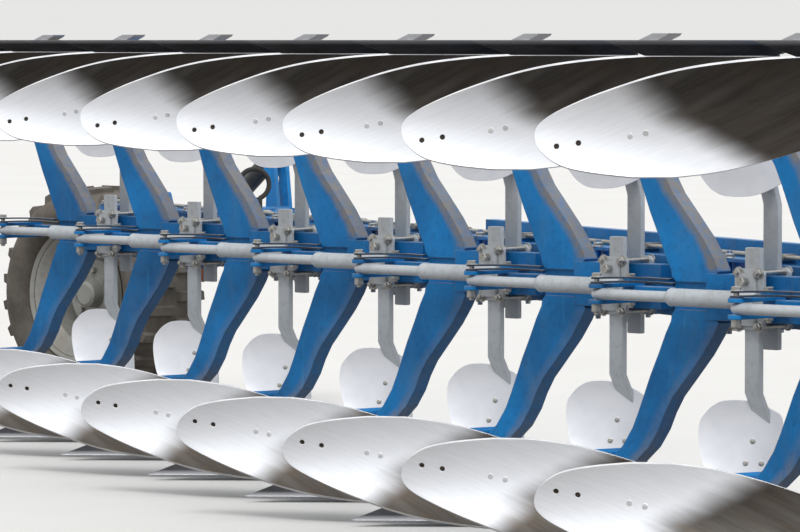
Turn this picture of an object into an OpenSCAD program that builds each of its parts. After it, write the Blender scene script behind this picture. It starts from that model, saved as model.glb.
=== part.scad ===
// Semi-mounted reversible mouldboard plough, nine bodies, parked on its points, wheel and stand.
// X is the direction of travel, Y is to the left, Z is up, all in millimetres.
// Each body carries a lower set of tools and an upper set, which is its mirror image.
// Heights inside a set are measured away from the middle of the beam, so the share edge is the largest.

/* [Layout] */
// Number of plough bodies along the beam
body_count = 9; // [4:1:10]
// Distance from one body to the next, along the beam
body_pitch = 1000; // [950:5:1100]
// Furrow width that each body cuts, which is also its side step
furrow_w = 400; // [350:5:450]
// Height of the share edge away from the middle of the beam
share_h = 825; // [815:1:860]
// How far the chisel point stands out beyond the share edge
point_drop = 22; // [12:1:40]

/* [Beam] */
// Width of the main beam tube
beam_w = 160; // [120:5:200]
// Height of the main beam tube
beam_h = 200; // [150:5:240]
// Wall of the main beam tube
beam_wall = 10; // [6:1:16]
// Distance from the line of legs to the middle of the beam, square to the beam
beam_offset = 300; // [280:5:340]
// Length of beam beyond the first and the last body
beam_end = 320; // [280:10:420]
// Thickness of the saddle plates that clamp each console to the beam
saddle_t = 12; // [8:1:20]
// Height of the lifting ear above its saddle plate
ear_h = 62; // [45:1:90]

/* [Legs] */
// Thickness of the forged leg, across the direction of travel
leg_t = 62; // [50:1:70]
// Height of the recess between the upper and the lower leg, above the middle
ledge_h = 45; // [35:1:55]
// Height of the carrier bar that runs forward to the skimmer clamp
bar_h = 150; // [110:2:170]
// Thickness of the carrier bar
bar_t = 66; // [50:1:80]
// Front end of the carrier bar, ahead of the leg's middle
bar_front = 440; // [425:5:470]
// Thickness of the frog plate that holds share and mouldboard
frog_t = 36; // [24:1:40]

/* [Mouldboards] */
// Thickness of the mouldboard
board_t = 9; // [6:0.5:12]
// Distance of the shin line behind the leg's middle, at the share
shin_back = 260; // [250:1:275]
// How much further back the top of the shin leans
shin_lean = 35; // [20:1:45]
// Angle of the board to the direction of travel at its upper edge
board_angle = 22; // [20:0.5:25]
// Growth of that angle towards the share, in degrees per square metre
board_twist = 147; // [135:1:155]
// Overhang that turns the furrow slice, towards the tail
board_overhang = 0.8; // [0.6:0.05:0.9]

/* [Shares] */
// Angle of the share edge to the direction of travel
share_angle = 40.5; // [38:0.5:43]
// Slope of the share face above the ground
share_slope = 35; // [30:1:40]
// Thickness of the share
share_t = 12; // [8:0.5:16]
// Length of the share's cutting edge
share_len = 620; // [580:5:640]
// Width of the chisel point
chisel_w = 66; // [50:1:80]
// Length of the landside bar
landside_len = 420; // [300:5:460]
// Thickness of the landside bar
landside_t = 12; // [8:1:16]

/* [Skimmers] */
// Distance of the skimmer stalk ahead of the leg's middle
skim_x = 265; // [250:1:290]
// Width of the stalk's flat bar, along the direction of travel
stalk_w = 60; // [45:1:70]
// Thickness of the stalk's flat bar
stalk_t = 25; // [18:1:30]
// Length of stalk that stands out past its clamp
stalk_stub = 165; // [140:1:200]
// Depth of the skimmer's cutting edge away from the middle of the beam
skim_depth = 600; // [580:2:640]
// Thickness of the skimmer board
skim_t = 6; // [4:0.5:8]
// Height of the clamp plates
clamp_h = 196; // [186:2:220]
// Width of the clamp plates
clamp_w = 120; // [112:1:140]
// Thickness of the clamp plates
clamp_t = 14; // [10:1:20]
// Diameter of the long clamp bolts
clamp_bolt_d = 16; // [12:1:20]

/* [Strut rods] */
// Diameter of the thick front stretch of each rod
rod_thick_d = 58; // [48:1:64]
// Diameter of the thin rear stretch of each rod
rod_thin_d = 36; // [28:1:44]
// Distance of the rod's rear pin behind the leg's middle
rod_back = 335; // [325:1:350]
// Distance of the rod's front pin ahead of the leg's middle
rod_front = 385; // [375:1:400]
// Gap between the rod and the skimmer clamp that it passes
rod_gap = 3; // [2:1:10]
// Diameter of the rod's upright pin
rod_pin_d = 18; // [14:1:24]
// Thickness of each flat strap between pin and leg
strap_t = 6; // [4:0.5:8]

/* [Turnover] */
// Distance of the turnover axis to the left of the front body
axis_left = 350; // [340:5:380]
// Diameter of the turnover axle
axle_d = 150; // [120:2:170]
// Running clearance of axles and pins in their bores, on the radius
run_gap = 0.05; // [0.02:0.01:0.1]
// Wall of the turnover bearing tube
bearing_wall = 40; // [30:1:50]
// Rear end of the turnover bearing, ahead of the front body
bearing_x = 1210; // [1200:5:1260]
// Length of the turnover bearing
bearing_len = 560; // [500:10:620]
// Thickness of the swivel plates that hold the beam's front end
swivel_t = 25; // [16:1:30]

/* [Hitch] */
// Distance between the shoulders of the lower link pins
link_span = 965; // [915:5:1010]
// Diameter of the lower link pins
link_pin_d = 36.6; // [28:0.1:50.8]
// Free length of each lower link pin
link_pin_len = 110; // [90:1:130]
// Diameter of the linch pin holes
linch_d = 12; // [9:0.5:16]
// Diameter of the cross shaft
cross_d = 90; // [76:1:110]
// Height of the cross shaft below the middle of the beam
cross_drop = 230; // [215:5:250]
// Diameter of the upright kingpin
kingpin_d = 80; // [60:2:100]
// Diameter of the hitch barrel around the kingpin
king_barrel_d = 150; // [130:2:170]
// Distance from the turnover bearing's front to the kingpin
kingpin_ahead = 190; // [180:5:230]

/* [Wheel] */
// Outer diameter of the tyre
tyre_d = 1000; // [960:10:1060]
// Width of the tyre
tyre_w = 440; // [380:10:480]
// Diameter of the rim
rim_d = 580; // [520:10:600]
// Depth of the tyre's block lugs
lug_h = 22; // [14:1:28]
// Number of lugs around the tyre, on each side
lug_count = 24; // [16:1:30]
// Distance of the wheel's middle behind the rear body
wheel_back = 1080; // [1000:10:1200]
// Distance of the wheel's middle to the left of the rear body
wheel_left = 1180; // [1150:10:1300]
// Distance of the wheel arm's pivot behind the rear body
arm_pivot_back = 330; // [310:5:360]
// Height of the wheel arm's pivot below the middle of the beam
arm_pivot_drop = 40; // [20:5:80]
// Width of the wheel arm's side plate
arm_w = 50; // [40:1:60]
// Bore of the lift cylinder's barrel
lift_bore_d = 70; // [60:1:80]
// Diameter of the lift cylinder's rod
lift_rod_d = 40; // [32:1:46]
// Diameter of the lift cylinder's pins
lift_pin_d = 32; // [25:1:36]

/* [Stand] */
// Side of the square stand leg
stand_w = 80; // [60:5:90]
// Diameter of the stand's foot plate
stand_foot_d = 220; // [160:5:260]
// Diameter of the stand's pivot pin
stand_pin_d = 32; // [24:1:40]

/* [Pipes] */
// Diameter of the steel oil pipes along the beam
pipe_d = 14; // [10:1:18]
// Diameter of the black oil hose
hose_d = 20; // [14:1:24]

/* [Hidden] */
numbers = [for (n = [1 : body_count]) n];

paint_blue = [0.05, 0.25, 0.62];
paint_grey = [0.66, 0.67, 0.68];
worn_steel = [0.78, 0.79, 0.82];
dark_steel = [0.25, 0.26, 0.29];
rubber_black = [0.10, 0.10, 0.10];
rim_beige = [0.62, 0.60, 0.55];

// Gap of pieces that seat on each other
seat = 0.3;
// Smooth round pieces
$fn = 48;

// The machine in its own frame: step of the bodies, and the beam's direction and square direction
step_x = sqrt(body_pitch * body_pitch - furrow_w * furrow_w);
beam_u = [step_x / body_pitch, -furrow_w / body_pitch];
beam_n = [furrow_w / body_pitch, step_x / body_pitch];
beam_turn = -asin(furrow_w / body_pitch);
beam_z = share_h + point_drop;
rear_x = -(body_count - 1) * step_x;
rear_y = (body_count - 1) * furrow_w;

function body_place(n) = [(n - body_count) * step_x, (body_count - n) * furrow_w, 0];
// Y of a line parallel to the beam, at a distance d square to it, for a place x beside a body
function beam_line_y(x, d) = d * beam_n[1] - (x - d * beam_n[0]) * furrow_w / step_x;

// Wheel and carriage places, from the rear body
wheel_x = rear_x - wheel_back;
wheel_y = rear_y + wheel_left;
tyre_r = tyre_d / 2;
wheel_z = tyre_r - beam_z;
arm_gap = 22;
arm_y = tyre_w / 2 + arm_gap;
pivot_x = rear_x - arm_pivot_back;

// Hitch places
kingpin_x = bearing_x + bearing_len + kingpin_ahead;
cross_ahead = 120;
collar_d = cross_d + 20;

module rig() {
  translate([shift_x, shift_y, beam_z]) children();
}

module at_body(n) {
  rig() translate(body_place(n)) children();
}

module both_sets() {
  children();
  mirror([0, 0, 1]) children();
}

// A round bar between two points
module rod_between(a, b, d) {
  v = b - a;
  run = norm(v);
  translate(a)
    rotate([0, acos(v[2] / run), atan2(v[1], v[0])])
      cylinder(d = d, h = run);
}

// A profile drawn in X and Z, given thickness from y0 to y1
module side_plate(y0, y1, points) {
  translate([0, y1, 0])
    rotate([90, 0, 0])
      linear_extrude(height = y1 - y0) polygon(points);
}

// A block given by its corners
module block(low, high) {
  translate(low) cube(high - low);
}

// Formed plates, each swept from rows of [height, front start, rear end] by a surface function
function unit(v) = v / norm(v);
function row_s(row, j, cols) = row[1] + (row[2] - row[1]) * j / cols;
function face_normal(f, s, h) = unit(cross(f(s + 1, h) - f(s - 1, h), f(s, h + 1) - f(s, h - 1)));
function sheet_points(f, rows, cols, back) = [
  for (row = rows, j = [0 : cols])
    let (s = row_s(row, j, cols), h = row[0])
      f(s, h) - back * face_normal(f, s, h)];
function grid_faces(rows_n, cols, flip) = [
  for (i = [0 : rows_n - 2], j = [0 : cols - 1], half = [0, 1])
    let (
      k = i * (cols + 1) + j,
      quad = [k, k + 1, k + cols + 2, k + cols + 1],
      tri = half == 0 ? [quad[0], quad[1], quad[2]] : [quad[0], quad[2], quad[3]])
      flip ? [tri[2], tri[1], tri[0]] : tri];
function rim_loop(rows_n, cols) = concat(
  [for (j = [0 : cols]) j],
  [for (i = [1 : rows_n - 1]) i * (cols + 1) + cols],
  [for (j = [1 : cols]) (rows_n - 1) * (cols + 1) + cols - j],
  [for (i = [1 : rows_n - 2]) (rows_n - 1 - i) * (cols + 1)]);
function rim_faces(loop, count) = [
  for (i = [0 : len(loop) - 1], half = [0, 1])
    let (a = loop[i], b = loop[(i + 1) % len(loop)])
      half == 0 ? [b, a, a + count] : [b, a + count, b + count]];

module closed_sheet(front, back, rows_n, cols) {
  count = len(front);
  shifted = [for (t = grid_faces(rows_n, cols, true)) [t[0] + count, t[1] + count, t[2] + count]];
  polyhedron(
    points = concat(front, back),
    faces = concat(grid_faces(rows_n, cols, false), shifted, rim_faces(rim_loop(rows_n, cols), count)));
}

module formed_plate(f, rows, cols, thick, back = 0) {
  closed_sheet(
    sheet_points(f, rows, cols, back),
    sheet_points(f, rows, cols, back + thick),
    len(rows), cols);
}

// A packing block between a formed plate's back and an upright plane at y
module packing_block(f, rows, cols, back, y) {
  front = sheet_points(f, rows, cols, back);
  flat = [for (p = front) [p[0], y, p[2]]];
  closed_sheet(front, flat, len(rows), cols);
}

// The mouldboard's surface: level lines that swing back from the share, with an overhanging tail
share_step = 51;
joint_h = share_h - share_step;
shin_top_h = joint_h - 149;
overhang_h = joint_h - 154;
board_top_h = joint_h - 354;
shin_y = -20;
metre = 1000;
function shin_x(h) =
  let (t = max(0, min(1, (h - shin_top_h) / (joint_h - shin_top_h))))
    -shin_back - shin_lean * (1 - t * t);
function swing(h) = board_angle + board_twist * pow((h - board_top_h) / metre, 2);
board_face = function (s, h)
  [shin_x(h) - s * cos(swing(h)),
   shin_y - s * sin(swing(h)) - board_overhang * pow(s / metre, 2) * (overhang_h - h),
   -h];
// Rows are given by their distance from the share joint, and turned into heights here
function from_joint(rows) = [for (row = rows) [joint_h - row[0], row[1], row[2]]];
// Mouldboard outline: distance from the joint, start behind the shin, end at the tail
board_rows = from_joint([
  [0, 0, 405],
  [9, 0, 552],
  [28, 0, 711],
  [54, 0, 830],
  [87, 0, 932],
  [129, 0, 1037],
  [174, 40, 1118],
  [214, 170, 1140],
  [259, 325, 1117],
  [294, 435, 1073],
  [322, 535, 1015],
  [340, 620, 930],
  [352, 715, 825]]);
board_cols = 6;
// Pieces behind the board take a patch of its own rows and columns, so they lie flat on it
function board_patch(i0, i1, j0, j1) = [
  for (i = [i0 : i1])
    [board_rows[i][0], row_s(board_rows[i], j0, board_cols), row_s(board_rows[i], j1, board_cols)]];
// Packing at the frog, then the pad of the tail stay
frog_rows = board_patch(3, 5, 0, 2);
stay_rows = board_patch(6, 7, 4, 5);
stay_h = (stay_rows[0][0] + stay_rows[1][0]) / 2;
stay_s = (stay_rows[0][1] + stay_rows[0][2] + stay_rows[1][1] + stay_rows[1][2]) / 4;
stay_t = 40;
stay_d = 28;
stay_foot = [-290, 22, 254 - joint_h];

// Leg outline: height from the middle or distance from the joint, then rear edge and front edge
leg_rows = concat(
  [
    [ledge_h, -74, 64],
    [ledge_h + 16, -90, 80],
    [ledge_h + 38, -94, 106],
    [ledge_h + 80, -117, 84],
    [ledge_h + 145, -146, 38],
    [ledge_h + 220, -182, -28],
    [ledge_h + 285, -209, -86]],
  from_joint([
    [389, -232, -120],
    [334, -258, -146],
    [274, -300, -188],
    [219, -362, -252],
    [174, -428, -345],
    [119, -455, -385]]));
leg_side = leg_t / 2;
frog_side = leg_side - frog_t;

module leg_half() {
  rear = [for (row = leg_rows) [row[1], -row[0]]];
  front = [for (i = [len(leg_rows) - 1 : -1 : 0]) [leg_rows[i][2], -leg_rows[i][0]]];
  side_plate(-leg_side, leg_side, concat(rear, front));
}

// The frog plate below the leg, along the landside
frog_sole = share_h - 19;
frog_toe = [-300, -frog_sole];

module frog_half() {
  // Outline: X, then distance above the sole
  frog_rise = [
    [-300, 246], [-305, 166], [-290, 106], [-278, 54], [-300, 0],
    [-560, 0], [-600, 36], [-600, 86], [-470, 206]];
  side_plate(frog_side, leg_side, [for (p = frog_rise) [p[0], p[1] - frog_sole]]);
  packing_block(board_face, frog_rows, 2, board_t + seat, frog_side);
}

// The stay that steadies the board's tail from the leg
module stay_half() {
  mid = board_face(stay_s, stay_h);
  back = face_normal(board_face, stay_s, stay_h);
  formed_plate(board_face, stay_rows, 1, stay_t, board_t + seat);
  rod_between(stay_foot, mid - (board_t + 0.7 * stay_t) * back, stay_d);
}

// Console: the core between the two legs, the carrier bar and the link to the beam's near face
core_front = 95;
core_recess = 14;
core_half_h = ledge_h + 26;
link_half = 78;
link_h = 120;
link_y0 = leg_side - 8;

module console_link() {
  d = beam_offset - beam_w / 2 - seat;
  translate([0, 0, -link_h / 2])
    linear_extrude(height = link_h)
      polygon([
        [-link_half, link_y0], [link_half, link_y0],
        [link_half, beam_line_y(link_half, d)], [-link_half, beam_line_y(-link_half, d)]]);
}

// The rod's fork: two ears on an arm that comes over from the beam
fork_t = 14;
fork_gap = rod_thin_d / 2 + 1;
fork_w = 52;

// Two ears around the rod's end at x, on arms that run in to y1
module rod_fork(x, y1) {
  x0 = x - fork_w / 2;
  for (z = [fork_gap, -fork_gap - fork_t])
    translate([0, 0, z])
      linear_extrude(height = fork_t)
        difference() {
          union() {
            translate([x0, rod_y]) square([fork_w, y1 - rod_y]);
            translate([x, rod_y]) circle(d = fork_w);
          }
          translate([x, rod_y]) circle(d = rod_pin_d + 2 * run_gap);
        }
}

module rear_fork() {
  bar_y0 = leg_side + 9;
  bar_y1 = bar_y0 + 50;
  rod_fork(-rod_back, bar_y1);
  block([-rod_back - fork_w / 2, bar_y0, -fork_gap - 1], [20 - link_half, bar_y1, fork_gap + 1]);
}

module console() {
  block([-88, core_recess - leg_side, -core_half_h], [core_front, leg_side, core_half_h]);
  block([core_front - 40, -bar_t / 2, -bar_h / 2], [bar_front, bar_t / 2, bar_h / 2]);
  console_link();
  rear_fork();
  rod_fork(rod_front, 0);
}

module leg(n) {
  color(paint_blue) at_body(n) {
    both_sets() {
      leg_half();
      frog_half();
      stay_half();
    }
    console();
  }
}

module boards(n) {
  color(worn_steel) at_body(n)
    both_sets() formed_plate(board_face, board_rows, board_cols, board_t);
}

// Share: a flat blade, its face sloping up and back from the cutting edge
share_rise = share_h - joint_h - 2;
share_depth = share_rise / sin(share_slope);
share_back = share_rise / tan(share_slope) / sin(share_angle);
share_start_x = shin_x(joint_h) + share_back;
share_top_start = share_back * cos(share_angle);
share_wing_cut = 134;

module share_blade() {
  big = 2000;
  intersection() {
    translate([share_start_x, shin_y, -share_h])
      rotate([0, 0, 180 + share_angle])
        rotate([-share_slope, 0, 0])
          translate([0, 0, -share_t])
            linear_extrude(height = share_t)
              polygon([
                [0, 0], [share_len, 0],
                [share_len - share_wing_cut, -share_depth], [share_top_start, -share_depth]]);
    block([-big, -big, -share_h], [big, big, 0]);
  }
}

// Chisel point: a bevelled bar along the landside, ahead of and below the share
chisel_tip_x = share_start_x + 40;
chisel_y1 = leg_side + seat + landside_t;

module chisel() {
  tip_x = chisel_tip_x;
  low = share_h + point_drop;
  side_plate(chisel_y1 - chisel_w, chisel_y1, [
    [tip_x, -low], [tip_x - 70, -low], [frog_toe[0] + 1.3, frog_toe[1] + 2],
    [frog_toe[0] + 10.8, frog_toe[1] + 25], [tip_x - 70, -low + 32], [tip_x - 8, -low + 8]]);
}

module landside() {
  front = frog_toe[0];
  low = frog_sole + 6;
  high = low - 96;
  rear = front - landside_len;
  side_plate(leg_side + seat, leg_side + seat + landside_t, [
    [front, -low], [front, -high - 20], [front - 20, -high],
    [rear + 60, -high - 20], [rear, -low + 30], [rear, -low]]);
}

module shares(n) {
  color(dark_steel) at_body(n)
    both_sets() {
      share_blade();
      chisel();
      landside();
    }
}

// Skimmer: a small board on a cranked stalk, held in its clamp ahead of the leg
skim_shin_x = skim_x + 80;
skim_shin_y = 16;
skim_angle = 38;
stalk_end_y = -1.5;
skim_rows = [
  [skim_depth, 0, 205],
  [skim_depth - 45, 0, 250],
  [skim_depth - 100, 0, 268],
  [skim_depth - 160, 0, 275],
  [skim_depth - 205, 0, 268],
  [skim_depth - 232, 0, 250],
  [skim_depth - 255, 50, 225],
  [skim_depth - 275, 110, 190]];
skim_face = function (s, h)
  let (u = (skim_depth - h) / metre, a = skim_angle - 120 * u + 260 * u * u)
    [skim_shin_x - 60 * u - s * cos(a), skim_shin_y - s * sin(a) - 2 * pow(s / metre, 2) * 300 * u, -h];
stalk_y1 = -bar_t / 2 - seat;
stalk_y0 = stalk_y1 - stalk_t;
clamp_y1 = stalk_y0 - seat;
clamp_y0 = clamp_y1 - clamp_t;
clamp_rim = 16;
clamp_bolt_z = bar_h / 2 + clamp_bolt_d / 2 + 2;
clamp_bolt_x = stalk_w / 2 + clamp_bolt_d / 2 + 3;

// A stalk whose right face lies at y in the clamp, cranked over to stand behind its skimmer board
module stalk(y) {
  x0 = skim_x - stalk_w / 2;
  end = skim_depth - 40;
  foot_y = stalk_end_y;
  translate([x0, 0, 0])
    rotate([90, 0, 90])
      linear_extrude(height = stalk_w)
        polygon([
          [y, stalk_stub], [y + stalk_t, stalk_stub],
          [y + stalk_t, -300], [foot_y + stalk_t, -400], [foot_y + stalk_t, -end],
          [foot_y, -end], [foot_y, -400], [y, -300]]);
}

// Clamp half: a plate with a raised channel over the stalk and a set screw that stands out
screw_out_near = 18;
screw_out_far = 4;

module clamp_half(screw_out) {
  screw_z = 58;
  block([skim_x - clamp_w / 2, clamp_y0, -clamp_h / 2], [skim_x + clamp_w / 2, clamp_y1, clamp_h / 2]);
  block([skim_x - stalk_w / 2 - 4, clamp_y0 - clamp_rim, -clamp_h / 2 + 14],
        [skim_x + stalk_w / 2 + 4, clamp_y0 + 1, clamp_h / 2 - 14]);
  translate([skim_x, clamp_y0 - clamp_rim + 1, screw_z])
    rotate([90, 0, 0]) cylinder(d = 24, h = screw_out + 4);
  translate([skim_x, clamp_y0 - clamp_rim - screw_out, screw_z])
    rotate([90, 0, 0]) cylinder(d = 34, h = 16, $fn = 6);
}

module clamp_bolts() {
  for (sx = [-1, 1], sz = [-1, 1])
    translate([skim_x + sx * clamp_bolt_x, -clamp_y0 + 26, sz * clamp_bolt_z])
      rotate([90, 0, 0]) cylinder(d = clamp_bolt_d, h = -2 * clamp_y0 + 52, $fn = 24);
}

module skimmer_board() {
  formed_plate(skim_face, skim_rows, 3, skim_t);
  packing_block(skim_face, [[skim_depth - 60, 40, 150], [skim_depth - 170, 40, 150]], 2,
    skim_t - 1, stalk_end_y + 1);
}

module skimmers(n) {
  color(paint_grey) at_body(n) {
    stalk(stalk_y0);
    mirror([0, 0, 1]) stalk(-stalk_y1);
    clamp_half(screw_out_near);
    rotate([180, 0, 0]) clamp_half(screw_out_far);
    clamp_bolts();
  }
  color(worn_steel) at_body(n)
    both_sets() skimmer_board();
}

// Strut rods beside the legs, with their pins and flat straps
rod_y = clamp_y0 - clamp_rim - rod_gap - rod_thick_d / 2;
rod_thick_x0 = -16;
rod_thick_x1 = rod_front - 44;
rod_cone = 12;
strap_w = 34;
pin_nut_d = 34;

module rod_eye(x) {
  translate([x, rod_y, 0]) cylinder(d = rod_pin_d + 2 * run_gap, h = 2 * rod_thin_d, center = true);
}

module strut_rod() {
  difference() {
    union() {
      translate([-rod_back, rod_y, 0]) sphere(d = rod_thin_d);
      translate([-rod_back, rod_y, 0])
        rotate([0, 90, 0]) cylinder(d = rod_thin_d, h = rod_back + rod_front);
      translate([rod_front, rod_y, 0]) sphere(d = rod_thin_d);
      translate([rod_thick_x0, rod_y, 0])
        rotate([0, 90, 0]) cylinder(d = rod_thick_d, h = rod_thick_x1 - rod_thick_x0);
      translate([rod_thick_x0 - rod_cone, rod_y, 0])
        rotate([0, 90, 0]) cylinder(d1 = rod_thin_d, d2 = rod_thick_d, h = rod_cone);
    }
    rod_eye(-rod_back);
    rod_eye(rod_front);
  }
}

module rod_pin(x, above) {
  below = fork_gap + fork_t;
  translate([x, rod_y, -below - 34]) cylinder(d = rod_pin_d, h = 2 * below + 34 + above);
  translate([x, rod_y, -below - 28]) cylinder(d = pin_nut_d, h = 27, $fn = 6);
  translate([x, rod_y, below + above - 13]) cylinder(d = pin_nut_d, h = 12, $fn = 6);
}

// Two flat straps from the rear pin to the back of the leg
module straps() {
  end_x = -94;
  run = rod_back + end_x;
  fan = 3;
  aim = atan2(-leg_side + 8 - rod_y, run);
  z0 = fork_gap + fork_t + seat;
  intersection() {
    for (i = [0, 1])
      translate([-rod_back, rod_y, z0 + i * (strap_t + 9)])
        rotate([0, 0, aim - fan * i])
          block([-strap_w / 2, -strap_w / 2, 0], [run + 60, strap_w / 2, strap_t]);
    block([-rod_back - 60, 2 * rod_y, 0], [end_x, 0, 2 * z0]);
  }
}

module strut_rods() {
  color(paint_grey) for (n = numbers)
    at_body(n) {
      strut_rod();
      rod_pin(-rod_back, 42);
      rod_pin(rod_front, 14);
      straps();
    }
}

// Main beam: an open ended tube with saddle plates and a lifting ear at each body
beam_long = (body_count - 1) * body_pitch + 2 * beam_end;

module beam_local(n) {
  at_body(n)
    rotate([0, 0, beam_turn]) translate([0, beam_offset, 0]) children();
}

// Plates above and below the beam, drawn together by bolts that pass beside it and the console
saddle_x = -80;
saddle_half = 136;
ear_x = -490;
ear_plate_t = 12;
// The smaller tube that stiffens the beam's front half
stiffener_from = 5;
stiffener_h = 64;
saddle_bolt_d = 18;

module saddle(bolt_sides) {
  wide = beam_w + 60;
  bolt_x = saddle_half - 26;
  bolt_y = wide / 2 - 14;
  for (z0 = [beam_h / 2, -beam_h / 2 - saddle_t])
    block([saddle_x - saddle_half, -wide / 2, z0], [saddle_x + saddle_half, wide / 2, z0 + saddle_t]);
  for (sx = [-1, 1], sy = bolt_sides)
    translate([saddle_x + sx * bolt_x, sy * bolt_y, 0])
      cylinder(d = saddle_bolt_d, h = beam_h + 2 * saddle_t + 50, center = true, $fn = 24);
}

module ear() {
  hole_d = 26;
  ear_r = 27;
  foot = 62;
  z0 = beam_h / 2 + ear_plate_t;
  block([ear_x - foot - 6, -beam_w / 2 - 14, beam_h / 2 - 1],
        [saddle_x - saddle_half + 1, beam_w / 2 - 60, z0]);
  translate([ear_x, -beam_w / 2 + 20, z0 - 1])
    rotate([90, 0, 0])
      linear_extrude(height = 20)
        difference() {
          union() {
            polygon([[-foot, 0], [foot, 0], [ear_r, ear_h - 10], [-ear_r, ear_h - 10]]);
            translate([0, ear_h - 18]) circle(r = ear_r);
          }
          translate([0, ear_h - 18]) circle(d = hole_d);
        }
}

module beam() {
  color(paint_blue) {
    beam_local(1)
      difference() {
        block([-beam_end, -beam_w / 2, -beam_h / 2], [beam_long - beam_end, beam_w / 2, beam_h / 2]);
        block([-beam_end + 15, -beam_w / 2 + beam_wall, -beam_h / 2 + beam_wall],
              [beam_long, beam_w / 2 - beam_wall, beam_h / 2 - beam_wall]);
      }
    for (n = [1 : body_count - 1])
      beam_local(n) saddle(n == 1 ? [-1] : [-1, 1]);
    for (n = [2 : body_count - 1])
      beam_local(n) ear();
    beam_local(stiffener_from)
      block([ear_x + 60, beam_w / 2 - 46, beam_h / 2 - 1],
            [(body_count - stiffener_from) * body_pitch + ear_x, beam_w / 2 - 2, beam_h / 2 + stiffener_h]);
  }
}

// Steel oil pipes in clips along the beam's near upper edge
pipe_z = beam_h / 2 + saddle_t + pipe_d / 2 + 3;

module pipes() {
  start = -beam_end + 60;
  run = (body_count - 1) * body_pitch - 150;
  color(paint_grey) beam_local(1) {
    for (i = [0, 1])
      translate([start, -beam_w / 2 + 56 + i * 26, pipe_z])
        rotate([0, 90, 0]) cylinder(d = pipe_d, h = run, $fn = 16);
    for (n = [0 : body_count - 2])
      block([n * body_pitch + 40, -beam_w / 2 + 42, beam_h / 2 + saddle_t + seat],
            [n * body_pitch + 70, -beam_w / 2 + 96, pipe_z + pipe_d / 2 + 4]);
  }
}

// The black hose that loops up from one pipe union to the next
hose_r = 62;
hose_lift = 26;

module hose_loop() {
  z = beam_h / 2 + 44;
  color(rubber_black) beam_local(2)
    translate([215, 45, 0]) rotate([0, 0, 76]) {
      translate([0, 0, z + hose_r + hose_lift])
        rotate([90, 0, 0])
          rotate_extrude(angle = 320, start = -70)
            translate([hose_r, 0]) circle(d = hose_d, $fn = 16);
      for (a = [-70, 250]) {
        foot = [hose_r * cos(a), 0, z + hose_r + hose_lift + hose_r * sin(a)];
        translate([foot[0], 0, beam_h / 2 + seat])
          cylinder(d = hose_d + 6, h = foot[2] - beam_h / 2 - seat + 4, $fn = 24);
      }
    }
}

// Front frame: swivel plates around the beam's front end, a box and the turnover axle
frame_box_w = 220;
plate_back = -230;
flange_t = 30;
flange_side = 340;
frame_box_x0 = 560;

module front_frame() {
  flange_x = bearing_x - 8 - flange_t;
  y = axis_left;
  near = [plate_back, beam_line_y(plate_back, beam_offset - beam_w / 2 - 40)];
  far = [plate_back, beam_line_y(plate_back, beam_offset + beam_w / 2 + 40)];
  corner_x = 470;
  near_front = [corner_x, beam_line_y(corner_x, beam_offset - beam_w / 2 - 30)];
  color(paint_blue) rig() {
    for (side = [-1, 1]) {
      z0 = side > 0 ? beam_h / 2 + seat : -beam_h / 2 - seat - swivel_t;
      translate([0, 0, z0])
        linear_extrude(height = swivel_t)
          polygon([
            near, near_front, [frame_box_x0 + 160, y - frame_box_w / 2],
            [frame_box_x0 + 160, y + frame_box_w / 2], [frame_box_x0 - 200, y + frame_box_w / 2 + 20],
            far]);
    }
    for (t = [-60, 330])
      translate([beam_offset * beam_n[0] + t * beam_u[0], beam_offset * beam_n[1] + t * beam_u[1], 0])
        both_sets() translate([0, 0, beam_h / 2 + seat]) cylinder(d = 90, h = swivel_t + 26);
    block([frame_box_x0, y - frame_box_w / 2, -beam_h / 2 - 1],
          [flange_x + 1, y + frame_box_w / 2, beam_h / 2 + 1]);
    block([flange_x, y - flange_side / 2, -flange_side / 2],
          [flange_x + flange_t, y + flange_side / 2, flange_side / 2]);
    translate([flange_x + flange_t - 1, y, 0])
      rotate([0, 90, 0]) cylinder(d = axle_d, h = bearing_len + 9 + 30, $fn = 64);
  }
}

// Headstock: the turnover bearing, its housing, and the lugs that hold the kingpin
bearing_d = axle_d + 2 * bearing_wall;
head_front = bearing_x + bearing_len;
lug_t = 45;
lug_w = 190;
lug_top_z = 130;
head_half = 160;
head_top = lug_top_z + lug_t;
head_gap = 50;
lug_low_z = -cross_drop - collar_d / 2 - 8 - lug_t;
head_plate_t = 40;

module king_lug(z0) {
  translate([0, axis_left, z0])
    linear_extrude(height = lug_t)
      union() {
        translate([head_front + head_gap, -lug_w / 2]) square([kingpin_x - head_front - head_gap, lug_w]);
        translate([kingpin_x, 0]) circle(d = lug_w);
      }
}

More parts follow.
